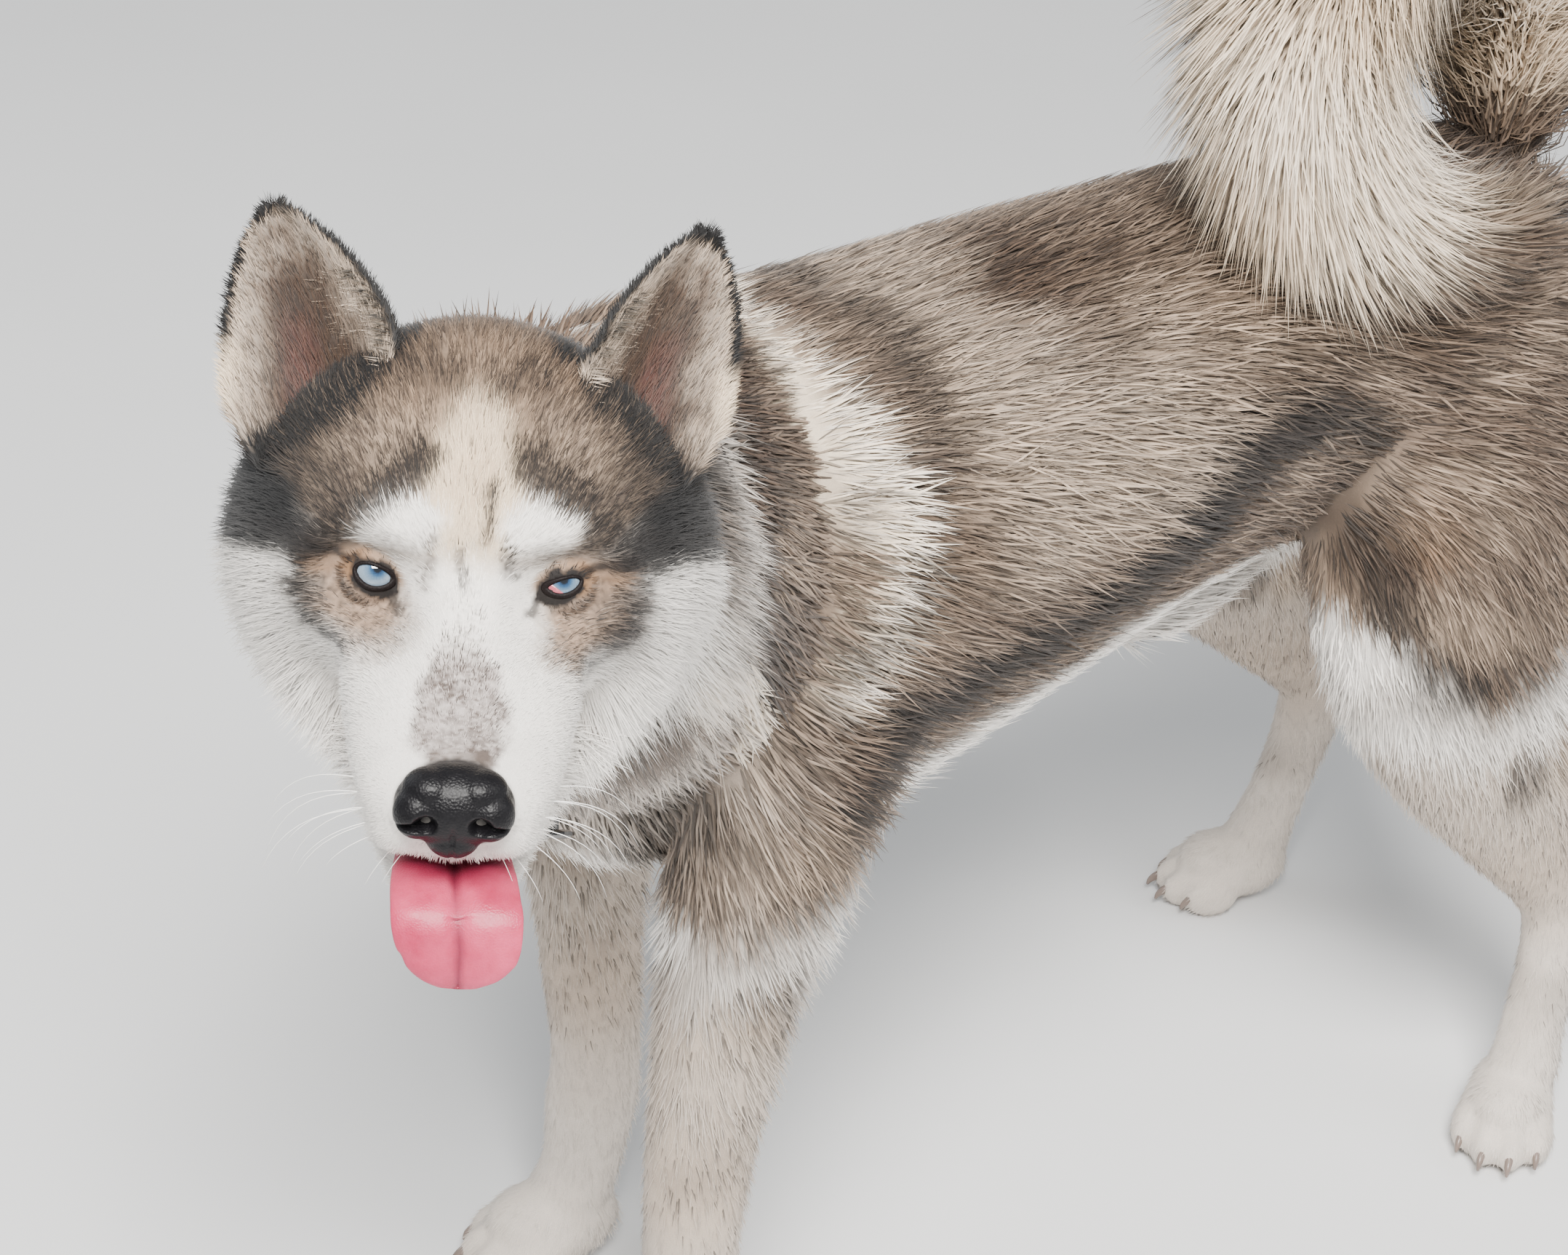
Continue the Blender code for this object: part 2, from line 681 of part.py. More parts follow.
def band(name, centre, axis, across, half_width, half_height, breadth, thickness):
    """A flat strap bent into an oval ring."""
    count = 24
    side = (across - axis * across.dot(axis)).normalized()
    up = side.cross(axis)
    points = []
    faces = []
    for k in range(count):
        angle = 2 * math.pi * k / count
        for reach, rise in ((0.0, -0.5), (0.0, 0.5), (thickness, 0.5), (thickness, -0.5)):
            ring = side * (half_width + reach) * math.cos(angle)
            ring += up * (half_height + reach) * math.sin(angle)
            points.append(centre + ring + axis * breadth * rise)
        for n in range(4):
            j = (n + 1) % 4
            m = (k + 1) % count
            faces.append((k * 4 + n, k * 4 + j, m * 4 + j, m * 4 + n))
    return mesh_object(name, points, faces)


def surface(item):
    points = [v.co for v in item.data.vertices]
    return BVHTree.FromPolygons(points, [p.vertices for p in item.data.polygons])


def lock(root, normal, lie, sizes):
    """One flat lock with a ridge, tapered and bent from its sunk root to a point."""
    length, width, thickness, stand, settle = sizes
    side = normal.cross(lie).normalized()
    place = root - normal * LOCK_SINK - lie * LOCK_SINK * 0.4
    points = []
    before = 0.0
    for share, breadth in zip((*LOCK_SHARES, 1.0), (*LOCK_BREADTHS, 0.0)):
        angle = math.radians(stand + (settle - stand) * share)
        along = lie * math.cos(angle) + normal * math.sin(angle)
        rise = along.cross(side)
        place = place + along * (share - before) * (length + LOCK_SINK)
        before = share
        if breadth:
            half = width * breadth / 2
            thick = thickness * (1.0 - 0.5 * share)
            points += [place + side * half, place + rise * thick, place - side * half]
    points.append(place)
    rings = len(LOCK_SHARES)
    faces = [(0, 1, 2)]
    for k in range(rings - 1):
        for n in range(3):
            a, b = 3 * k + n, 3 * k + (n + 1) % 3
            faces.append((a, b, b + 3))
            faces.append((a, b + 3, a + 3))
    for n in range(3):
        faces.append((3 * rings - 3 + n, 3 * rings - 3 + (n + 1) % 3, 3 * rings))
    return points, faces


def grow_locks(item, seeds, sizes, vary):
    """Root a lock where each seed's ray leaves the item, bent clear of every other piece, and fuse them."""
    skin = surface(item)
    others = [surface(other) for other in bpy.data.objects if other is not item]
    length, width, thickness, stand, settle = sizes
    locks = []
    for start, out, lie, scale, bend in seeds:
        root, normal, _, _ = skin.ray_cast(start, out)
        if root is None:
            continue
        normal = (normal + out.normalized()).normalized()
        lie = (lie - normal * lie.dot(normal)).normalized()
        lie = Matrix.Rotation(math.radians(vary.uniform(-LOCK_SWAY, LOCK_SWAY)), 3, normal) @ lie
        long_by = scale * vary.uniform(1.0 - LOCK_VARY, 1.0 + LOCK_VARY)
        wide_by = scale ** 0.5 * vary.uniform(1.0 - LOCK_VARY, 1.0 + LOCK_VARY)
        for shorter, lifted in LOCK_TRIES:
            angles = (stand + bend + lifted, settle + bend * 2 + lifted)
            form = (length * long_by * shorter, width * wide_by, thickness, *angles)
            points, faces = lock(root, normal, lie, form)
            tree = BVHTree.FromPolygons(points, faces, epsilon=2 * GAP)
            if not any(tree.overlap(other) for other in others):
                locks.append(mesh_object("lock", points, faces))
                break
    boolean(item, locks, "UNION", "MANIFOLD")
    print(item.name, len(locks), "of", len(seeds), "locks")


def ring_seeds(centre, axis, across, angles, lie, scale):
    """Rays from an axis outward at the given angles in degrees round it."""
    side = (across - axis * across.dot(axis)).normalized()
    up = side.cross(axis)
    if up.z < 0:
        up = -up
    turns = [math.radians(a) for a in angles]
    return [(centre, side * math.cos(t) + up * math.sin(t), lie, scale, 0.0) for t in turns]


def ruff_seeds(vary):
    """Rings round the neck, lying back over the collar."""
    seeds = []
    for k, reach in enumerate(RUFF_ROWS):
        base = Vector(NECK[2][0])
        bend = Vector(NECK[3][0])
        end = Vector(NECK[4][0])
        first = (bend - base).length
        if reach < first:
            axis = (bend - base).normalized()
            centre = base + axis * reach
        else:
            axis = (end - bend).normalized()
            centre = bend + axis * (reach - first)
        step = 360.0 / RUFF_ROUND
        angles = [step * (n + 0.5 * (k % 2)) + vary.uniform(-3.0, 3.0) for n in range(RUFF_ROUND)]
        lie = Vector((0, 0, -0.42)) - axis
        seeds += ring_seeds(centre, axis, Vector((1, 0, 0)), angles, lie, 1.0)
    return seeds


def cheek_seeds(frame, vary):
    """The ruff behind the cheeks and under the skull, none on the crown."""
    seeds = []
    turn = frame.to_3x3()
    for k, y in enumerate(CHEEK_ROWS):
        for n in range(CHEEK_ROUND + k):
            angle = math.radians(-204.0 + 228.0 * n / (CHEEK_ROUND + k - 1) + vary.uniform(-3.0, 3.0))
            out = Vector((math.cos(angle), 0.10, math.sin(angle)))
            lie = Vector((0.30 * math.cos(angle), 0.80, -0.62))
            seeds.append((frame @ Vector((0, y, -0.020)), turn @ out, turn @ lie, 1.0, 0.0))
    return seeds


def chest_seeds(vary):
    seeds = []
    for y, lean, spread in CHEST_ROWS:
        for n in range(4):
            angle = math.radians(-90.0 + spread * (n - 1.5) / 1.5 + vary.uniform(-4.0, 4.0))
            out = Vector((math.cos(angle), lean, math.sin(angle)))
            seeds.append((Vector((0, y, 0.410)), out, Vector((0, 0.45, -1.0)), 1.0, 0.0))
    return seeds


def belly_seeds(vary):
    seeds = []
    for y in BELLY_ROWS:
        for side in (1, -1):
            out = Vector((side * 0.22 + vary.uniform(-0.05, 0.05), 0, -1))
            seeds.append((Vector((0, y, 0.420)), out, Vector((-side * 0.2, 1.0, -0.2)), 1.0, 0.0))
    return seeds


def rump_seeds(vary):
    seeds = []
    for height, rise in RUMP_ROWS:
        for across in (-0.75, -0.25, 0.25, 0.75):
            out = Vector((across + vary.uniform(-0.08, 0.08), 1.0, rise))
            seeds.append((Vector((0, 0.255, height)), out, Vector((across * 0.2, 0.10, -1.0)), 1.0, 0.0))
    return seeds


def breech_seeds(side, back, out_by, vary):
    """The long hair down the back of a thigh."""
    stations = leg_stations(HINDLEG, side, back, out_by, HIND_SHARE if side < 0 else 1.0)
    rows = smooth_between([(*centre, a, b) for centre, a, b in stations], 6)
    seeds = []
    for height in BREECH_ROWS:
        row = min(rows, key=lambda r: abs(r[2] - height))
        for angle in BREECH_TURNS:
            turn = math.radians(angle + vary.uniform(-6.0, 6.0))
            out = Vector((side * math.cos(turn), math.sin(turn), 0))
            scale = 0.75 + 0.25 * (height - BREECH_ROWS[-1]) / (BREECH_ROWS[0] - BREECH_ROWS[-1])
            seeds.append((Vector(row[:3]), out, Vector((0, 0.22, -1.0)), scale, 0.0))
    return seeds


def tail_seeds(first, last, rows, vary):
    """Rings along one length of the tail, short inside the curl."""
    seeds = []
    for k in range(rows):
        share = first + (last - first) * (k + 0.5) / rows
        angle = TAIL_START + (TAIL_END - TAIL_START) * share
        place = tail_point(angle)
        along = (tail_point(angle + 2.0) - tail_point(angle - 2.0)).normalized()
        inward = (TAIL_CENTRE - place).normalized()
        step = 360.0 / TAIL_ROUND
        angles = [step * (n + 0.5 * (k % 2)) + vary.uniform(-5.0, 5.0) for n in range(TAIL_ROUND)]
        for start, out, lie, _, _ in ring_seeds(place, along, Vector((1, 0, 0)), angles, along, 1.0):
            inner = out.dot(inward)
            scale = tail_radius(share) / TAIL_COAT * (1.0 - TAIL_INNER * max(0.0, inner))
            seeds.append((start, out, lie, scale, TAIL_FOLLOW * inner))
    return seeds


def make_collar(neck, strap):
    """The strap lies in a groove of the neck's coat, and the tag hangs from it at the throat."""
    centre, half_width, half_height = NECK[3]
    centre = Vector(centre)
    axis = (Vector(NECK[4][0]) - Vector(NECK[2][0])).normalized()
    across = Vector((1, 0, 0))
    a = half_width * COLLAR_INSET
    b = half_height * COLLAR_INSET
    groove = band("cut", centre, axis, across, a - GAP, b - GAP, COLLAR_WIDTH + 2 * GAP, COLLAR_GROOVE)
    boolean(neck, [groove], "DIFFERENCE")
    collar = band("collar", centre, axis, across, a, b, COLLAR_WIDTH, COLLAR_THICKNESS)
    finish(collar, "collar", strap, 50)
    # The tag faces outward from the throat and hangs on two short links
    out = (TAG_PLACE - centre)
    out = (out - axis * out.dot(axis)).normalized()
    hang = axis.cross(out).normalized()
    turn = Matrix((hang, -out, axis)).transposed().to_4x4()
    tag = ball("tag", (0, 0, 0), (TAG_SIZE[0] / 2, TAG_SIZE[1] / 2, TAG_SIZE[2] / 2), segments=10, rings=6)
    for vertex in tag.data.vertices:
        vertex.co.y = max(-TAG_SIZE[1] * 0.36, min(TAG_SIZE[1] * 0.36, vertex.co.y))
    tag.data.transform(Matrix.Translation(TAG_PLACE) @ turn)
    reach = (TAG_PLACE - centre).length
    inner = a + COLLAR_THICKNESS + GAP
    link = tube("link", [
        (tuple(centre + out * (inner + 0.0004)), 0.0016, 0.0030),
        (tuple(centre + out * (inner * 0.5 + reach * 0.5)), 0.0016, 0.0030),
        (tuple(TAG_PLACE), 0.0016, 0.0030),
    ], sides=6, fine=1)
    boolean(tag, [link], "UNION")
    boolean(tag, [grown(neck, "clear", GAP * 1.5)], "DIFFERENCE")
    boolean(tag, [grown(collar, "clear", GAP)], "DIFFERENCE")
    finish(tag, "collar_tag", strap)


def leg_block(side, back, hind, shrink):
    """The block that takes a leg out of the body: its upper face slopes up and outward."""
    if hind:
        front, rear, inner, outer, low, high = 0.060, 0.400, 0.020, 0.190, 0.318, 0.505
    else:
        front, rear, inner, outer, low, high = -0.330, -0.125 + back, 0.030, 0.150, 0.262, 0.345
    corners = []
    for y in (front, rear):
        corners += [(side * inner, y, -0.05), (side * outer, y, -0.05)]
        corners += [(side * inner, y, low), (side * outer, y, high)]
    middle = sum((Vector(c) for c in corners), Vector()) / len(corners)
    size = 1.0 - 2 * GAP / (outer - inner) * 1.6 if shrink else 1.0
    return block("cut", [middle + (Vector(c) - middle) * size for c in corners])


def part_along(item, name, point, normal):
    """Part an item across a plane: the side the normal points to becomes a new piece."""
    far = copy_of(item, name)
    boolean(item, [half_space("cut", point, normal, -GAP / 2)], "INTERSECT")
    boolean(far, [half_space("cut", point, -Vector(normal), -GAP / 2)], "INTERSECT")
    return far


def make_legs(body, coat, pale):
    """Take the legs and paws out of the body, with a thin gap at each cut."""
    legs = (("left", 1, False), ("right", -1, False), ("left", 1, True), ("right", -1, True))
    for name, side, hind in legs:
        back = FORELEG_BACK if side < 0 else 0.0
        node = ("hindleg_" if hind else "foreleg_") + name
        wrist = HIND_ANKLE if hind else FORE_WRIST
        leg = copy_of(body, node)
        boolean(leg, [leg_block(side, back, hind, True)], "INTERSECT")
        upper = part_along(leg, "upper", (0, 0, wrist), (0, 0, 1))
        paw_name = node.replace("leg_", "paw_")
        place, heading, size = paws()[paw_name]
        boolean(leg, claw_pieces("claw", place, heading, size), "UNION")
        boolean(body, [leg_block(side, back, hind, False)], "DIFFERENCE")
        finish(leg, paw_name, pale)
        if hind:
            thigh = part_along(upper, "thigh", (0, 0, THIGH_SEAM), (0, 0, 1))
            finish(thigh, "thigh_" + name, coat)
        finish(upper, node, coat)


def make_tail(body, cream, vary):
    """Three lengths of tail, parted across the curl and clear of the back, each with its own locks."""
    stations = tail_stations(0.0, 1.0, 26, TAIL_CORE)
    whole = melt("tail", [tube("tail", stations, sides=14, fine=2)], TAIL_VOXEL, 4)
    thin_out(whole, TAIL_FACES)
    boolean(whole, [grown(body, "clear", GAP * 1.5)], "DIFFERENCE")
    made = []
    for k, name in enumerate(("tail_base", "tail_middle", "tail_tip")):
        length = copy_of(whole, name)
        angles = [TAIL_START + (TAIL_END - TAIL_START) * share for share in TAIL_SPLITS[k:k + 2]]
        sector(length, angles, k)
        made.append(finish(length, name, cream))
    remove([whole])
    for k, length in enumerate(made):
        first = TAIL_SPLITS[k] + (0.05 if k == 0 else 0.0)
        grow_locks(length, tail_seeds(first, TAIL_SPLITS[k + 1], TAIL_ROWS[k], vary), TAIL_LOCK, vary)


def sector(item, angles, order):
    """Keep the part of the curl between two planes through its axle."""
    for angle, way in ((angles[0], 1), (angles[1], -1)):
        if (order == 0 and way == 1) or (order == 2 and way == -1):
            continue
        turn = math.radians(angle)
        normal = Vector((0, -math.sin(turn), math.cos(turn))) * -way
        boolean(item, [half_space("cut", TAIL_CENTRE, normal, -GAP / 2)], "INTERSECT")


def make_head(head, frame, materials):
    """The head's own parts, each set against the head with a thin gap."""
    coat, pale, leather, pink, iris = materials
    nose_pieces = [ball("nose", *NOSE)]
    x, y, z = NOSE[0]
    for side in (1, -1):
        nose_pieces.append(ball("wing", (side * 0.0115, y - 0.0045, z - 0.0010), (0.0080, 0.0080, 0.0090)))
    nose_pieces.append(ball("base", (0, y - 0.001, z - 0.0105), (0.0090, 0.0085, 0.0070)))
    nose = melt("nose", nose_pieces, 0.0014, 5)
    thin_out(nose, 230)
    room = grown(nose, "room", GAP * 1.6)
    for side in (1, -1):
        hole = tube("nostril", [
            ((side * 0.0050, y - 0.0180, z + 0.0020), 0.0028, 0.0028),
            ((side * 0.0088, y - 0.0120, z + 0.0005), 0.0030, 0.0034),
            ((side * 0.0120, y - 0.0080, z - 0.0030), 0.0022, 0.0026),
        ], sides=6, fine=1)
        slit = tube("slit", [
            ((side * 0.0100, y - 0.0160, z - 0.0030), 0.0014, 0.0016),
            ((side * 0.0160, y - 0.0100, z - 0.0050), 0.0013, 0.0015),
            ((side * 0.0215, y - 0.0030, z - 0.0060), 0.0012, 0.0013),
        ], sides=5, fine=1)
        boolean(nose, [hole], "DIFFERENCE")
        boolean(nose, [slit], "DIFFERENCE")
    nose.data.transform(frame)
    room.data.transform(frame)
    boolean(head, [room], "DIFFERENCE")
    finish(nose, "nose", leather)
    for side, name, height, drop in ((1, "left", 0.0034, 0.0052), (-1, "right", 0.0056, 0.0066)):
        eye = ball("eye", (0, 0, 0), (EYE_RADIUS,) * 3, segments=14, rings=8)
        eye.data.transform(frame @ eye_frame(side))
        socket = ball("cut", (0, 0, 0), (EYE_RADIUS + GAP * 1.6,) * 3, segments=14, rings=8)
        socket.data.transform(frame @ eye_frame(side))
        lids = lid_ring("lids", side, height, drop)
        lids.data.transform(frame)
        boolean(head, [lids], "UNION")
        boolean(head, [socket], "DIFFERENCE")
        finish(eye, "eye_" + name, iris)


def build():
    clear_scene()
    coat = material("coat_grey", (0.42, 0.38, 0.34), 0.85)
    pale = material("coat_white", (0.80, 0.77, 0.72), 0.85)
    cream = material("coat_cream", (0.72, 0.66, 0.56), 0.85)
    leather = material("nose_leather", (0.02, 0.02, 0.022), 0.30)
    pink = material("tongue_pink", (0.75, 0.22, 0.28), 0.30)
    iris = material("eye_blue", (0.45, 0.60, 0.75), 0.10)
    strap = material("collar_black", (0.02, 0.02, 0.02), 0.55)

    vary = random.Random(SEED)
    frame = head_frame()
    body = thin_out(body_skin(), BODY_FACES)
    head = thin_out(head_skin(), HEAD_FACES)
    head.data.transform(frame)

    # The neck is parted from the torso across the shoulders and from the head behind the skull
    neck_axis = (Vector(NECK[4][0]) - Vector(NECK[3][0])).normalized()
    head_seam = Vector(NECK[4][0]) - neck_axis * 0.012
    torso_axis = (Vector(NECK[2][0]) - Vector(NECK[1][0])).normalized()
    torso_seam = Vector(NECK[2][0]) - torso_axis * 0.020
    boolean(body, [half_space("cut", (0, 0, 0), (0, 0, -1))], "INTERSECT")
    neck = copy_of(body, "neck")
    boolean(neck, [half_space("cut", torso_seam, -torso_axis, -GAP / 2)], "INTERSECT")
    boolean(neck, [half_space("cut", head_seam, neck_axis, -GAP / 2)], "INTERSECT")
    boolean(body, [half_space("cut", torso_seam, torso_axis, -GAP / 2)], "INTERSECT")
    boolean(head, [half_space("cut", head_seam, -neck_axis, -GAP / 2)], "INTERSECT")

    make_head(head, frame, (coat, pale, leather, pink, iris))
    for side, name in ((1, "left"), (-1, "right")):
        shell = ear("ear", side)
        shell.data.transform(frame)
        boolean(shell, [grown(head, "clear", GAP * 2.5)], "DIFFERENCE")
        finish(shell, "ear_" + name, pale)

    jaw = tube("jaw", JAW, sides=12, fine=2)
    jaw.data.transform(frame)
    boolean(jaw, [grown(head, "clear", GAP * 1.5)], "DIFFERENCE")
    boolean(jaw, [grown(neck, "clear", GAP * 1.5)], "DIFFERENCE")
    finish(jaw, "lower_jaw", pale)
    tongue = tube("tongue", TONGUE, sides=12, fine=2, groove=0.0012, square=2.6)
    tongue.data.transform(frame)
    for item in (head, jaw):
        boolean(tongue, [grown(item, "clear", GAP * 1.5)], "DIFFERENCE")
    finish(tongue, "tongue", pink)

    make_collar(neck, strap)
    make_legs(body, coat, pale)
    finish(head, "head", coat)
    finish(neck, "neck", coat)
    loin = finish(part_along(body, "loin", (0, LOIN_SEAM, 0), (0, 1, 0)), "loin", coat)
    finish(body, "torso", coat)
    make_tail(loin, cream, vary)
    grow_locks(body, chest_seeds(vary), CHEST_LOCK, vary)
    grow_locks(body, belly_seeds(vary), BELLY_LOCK, vary)
    grow_locks(loin, rump_seeds(vary), BREECH_LOCK, vary)
    grow_locks(head, cheek_seeds(frame, vary), CHEEK_LOCK, vary)
    grow_locks(neck, ruff_seeds(vary), RUFF_LOCK, vary)
    for side, name in ((1, "left"), (-1, "right")):
        back, out = (RIGHT_HIND_BACK, RIGHT_HIND_OUT) if side < 0 else (0.0, 0.0)
        thigh = bpy.data.objects["thigh_" + name]
        grow_locks(thigh, breech_seeds(side, back, out, vary), BREECH_LOCK, vary)
    stand_on_origin()


def stand_on_origin():
    """Set the floor's point under the middle of the whole model at the origin."""
    points = [v.co for item in bpy.data.objects for v in item.data.vertices]
    middle = [(min(p[k] for p in points) + max(p[k] for p in points)) / 2 for k in (0, 1)]
    for item in bpy.data.objects:
        item.data.transform(Matrix.Translation((-middle[0], -middle[1], 0.0)))
    print("middle of the model", [round(m, 5) for m in middle])


build()
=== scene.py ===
import math

import bmesh
import bpy
import numpy as np
from mathutils import Matrix, Vector
from mathutils.kdtree import KDTree


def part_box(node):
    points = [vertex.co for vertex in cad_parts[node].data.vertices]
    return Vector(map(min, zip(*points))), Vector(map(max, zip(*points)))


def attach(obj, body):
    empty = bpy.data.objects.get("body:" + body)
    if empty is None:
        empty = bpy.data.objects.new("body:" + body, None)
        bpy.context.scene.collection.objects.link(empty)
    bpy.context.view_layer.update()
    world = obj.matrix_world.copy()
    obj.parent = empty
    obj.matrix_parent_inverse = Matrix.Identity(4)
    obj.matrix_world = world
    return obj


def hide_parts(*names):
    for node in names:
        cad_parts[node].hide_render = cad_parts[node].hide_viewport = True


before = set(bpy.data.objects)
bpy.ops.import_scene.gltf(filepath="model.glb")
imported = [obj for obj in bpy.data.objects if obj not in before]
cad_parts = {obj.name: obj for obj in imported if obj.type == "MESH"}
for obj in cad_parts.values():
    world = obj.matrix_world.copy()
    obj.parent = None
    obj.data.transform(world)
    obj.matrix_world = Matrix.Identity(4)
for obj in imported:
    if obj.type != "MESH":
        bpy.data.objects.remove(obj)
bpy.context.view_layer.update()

# The dog faces -Y and its left is +X. Lengths are metres.
# Shapes below use the drawing's own frame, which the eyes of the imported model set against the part.

animal = {
    "seed": 11,
    "headPlace": (0.175, -0.395, 0.582),      # midway between the eyes
    "headTurn": (-10.8, 4.6, 59.0),           # pitch, roll and yaw in degrees
    "eyePlace": (0.0320, 0.0085, -0.0020),    # in the head's own frame, on the dog's left
    "formVoxel": 0.0028,
    "skinVoxel": 0.0015,
    "bodyFaces": 0.16,                        # share of the skin's faces kept behind the head
}

rng = np.random.default_rng(animal["seed"])


def headMatrix():
    pitch, roll, yaw = [math.radians(a) for a in animal["headTurn"]]
    turn = Matrix.Rotation(yaw, 4, "Z") @ Matrix.Rotation(pitch, 4, "X") @ Matrix.Rotation(roll, 4, "Y")
    return Matrix.Translation(Vector(animal["headPlace"])) @ turn


headAtDrawing = headMatrix()
eyeLocal = Vector(animal["eyePlace"])
eyeBoxes = [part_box("eye_left"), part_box("eye_right")]
eyesMeasured = sum((low + high for low, high in eyeBoxes), Vector()) / 4
eyesDrawn = headAtDrawing @ Vector((0.0, eyeLocal.y, eyeLocal.z))
shift = Vector((eyesMeasured.x - eyesDrawn.x, eyesMeasured.y - eyesDrawn.y, 0.0))
toPart = Matrix.Translation(shift)
headToPart = toPart @ headAtDrawing
partToHead = np.array(headToPart.inverted())
print("drawing set against the frame, shift", [round(s, 4) for s in shift])


# Small helpers

def deselectAll():
    if bpy.context.object and bpy.context.object.mode != "OBJECT":
        bpy.ops.object.mode_set(mode="OBJECT")
    bpy.ops.object.select_all(action="DESELECT")


def makeActive(piece):
    deselectAll()
    piece.select_set(True)
    bpy.context.view_layer.objects.active = piece


def applyAll(piece):
    makeActive(piece)
    for step in list(piece.modifiers):
        bpy.ops.object.modifier_apply(modifier=step.name)


def srgb(*levels):
    out = []
    for level in levels:
        c = level / 255.0
        out.append(c / 12.92 if c <= 0.04045 else ((c + 0.055) / 1.055) ** 2.4)
    return np.array(out)


def inHead(points):
    return points @ partToHead[:3, :3].T + partToHead[:3, 3]


def turnOutwards(mesh):
    work = bmesh.new()
    work.from_mesh(mesh)
    bmesh.ops.recalc_face_normals(work, faces=work.faces)
    work.to_mesh(mesh)
    work.free()


def meshFrom(name, points, faces):
    mesh = bpy.data.meshes.new(name)
    mesh.from_pydata([tuple(p) for p in points], [], faces)
    turnOutwards(mesh)
    piece = bpy.data.objects.new(name, mesh)
    bpy.context.scene.collection.objects.link(piece)
    mesh.shade_smooth()
    return piece


def joinPieces(pieces, name):
    deselectAll()
    for piece in pieces:
        piece.select_set(True)
    bpy.context.view_layer.objects.active = pieces[0]
    bpy.ops.object.join()
    piece = bpy.context.object
    piece.name = name
    piece.data.name = name
    return piece


def dress(piece, material, slotName, *nodes):
    piece.data.materials.clear()
    piece.data.materials.append(material)
    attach(piece, "root")
    if nodes:
        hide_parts(*nodes)


# Lofted forms

def between(rows, fine):
    out = []
    last = len(rows) - 1
    for k in range(last):
        a, b, c, d = rows[max(k - 1, 0)], rows[k], rows[k + 1], rows[min(k + 2, last)]
        for step in range(fine):
            t = step / fine
            row = []
            for p, q, r, s in zip(a, b, c, d):
                bend = (2 * p - 5 * q + 4 * r - s) * t * t + (3 * q - p - 3 * r + s) * t ** 3
                row.append(0.5 * (2 * q + (r - p) * t + bend))
            out.append(row)
    out.append(list(rows[-1]))
    return out


def loft(stations, sides=28, fine=4, egg=0.0, square=2.0, inset=0.0, place=None, cap=0.5):
    rows = between([(*centre, a - inset, b - inset) for centre, a, b in stations], fine)
    centres = [Vector(row[:3]) for row in rows]
    across = Vector((1, 0, 0))
    points = []
    faces = []
    for k, row in enumerate(rows):
        before = centres[max(k - 1, 0)]
        after = centres[min(k + 1, len(rows) - 1)]
        along = (after - before).normalized()
        side = (across - along * across.dot(along)).normalized()
        up = side.cross(along)
        for n in range(sides):
            angle = 2 * math.pi * n / sides
            c = math.copysign(abs(math.cos(angle)) ** (2 / square), math.cos(angle))
            s = math.copysign(abs(math.sin(angle)) ** (2 / square), math.sin(angle))
            points.append(centres[k] + side * row[3] * c * (1 + egg * s) + up * row[4] * s)
    for k in range(len(rows) - 1):
        for n in range(sides):
            m = (n + 1) % sides
            faces.append((k * sides + n, k * sides + m, (k + 1) * sides + m, (k + 1) * sides + n))
    for k, way in ((0, -1), (len(rows) - 1, 1)):
        near = centres[k - way]
        reach = min(rows[k][3], rows[k][4]) * cap
        points.append(centres[k] + (centres[k] - near).normalized() * reach)
        for n in range(sides):
            faces.append((k * sides + n, k * sides + (n + 1) % sides, len(points) - 1))
    if place is not None:
        points = [place @ p for p in points]
    return meshFrom("loft", points, faces)


def egg(centre, radii, inset=0.0, place=None, turn=None, segments=32, rings=20):
    deselectAll()
    bpy.ops.mesh.primitive_uv_sphere_add(segments=segments, ring_count=rings, radius=1.0)
    piece = bpy.context.object
    size = Matrix.Diagonal((*[r - inset for r in radii], 1.0))
    spin = turn if turn is not None else Matrix.Identity(4)
    whole = Matrix.Translation(Vector(centre)) @ spin @ size
    piece.data.transform((place @ whole) if place is not None else whole)
    piece.data.shade_smooth()
    return piece


# Body forms: the sections of the coat's outline, from which the coat's depth is taken off

torso = {
    "sections": [  # y, top, bottom, half width
        (-0.290, 0.430, 0.345, 0.040), (-0.270, 0.485, 0.300, 0.074), (-0.235, 0.538, 0.276, 0.098),
        (-0.180, 0.562, 0.280, 0.114), (-0.110, 0.558, 0.298, 0.116), (-0.030, 0.556, 0.320, 0.113),
        (0.050, 0.554, 0.340, 0.106), (0.120, 0.552, 0.348, 0.102), (0.190, 0.548, 0.340, 0.106),
        (0.255, 0.535, 0.335, 0.100), (0.296, 0.514, 0.344, 0.086), (0.320, 0.494, 0.360, 0.070),
        (0.334, 0.472, 0.382, 0.050),
    ],
    "egg": 0.19,
    "coat": 0.0120,
}

neck = {
    "sections": [
        ((0.000, -0.110, 0.440), 0.100, 0.112), ((0.006, -0.185, 0.448), 0.102, 0.118),
        ((0.030, -0.250, 0.472), 0.100, 0.114), ((0.064, -0.300, 0.506), 0.096, 0.101),
        ((0.097, -0.340, 0.546), 0.090, 0.089),
    ],
    "coat": 0.0150,
}

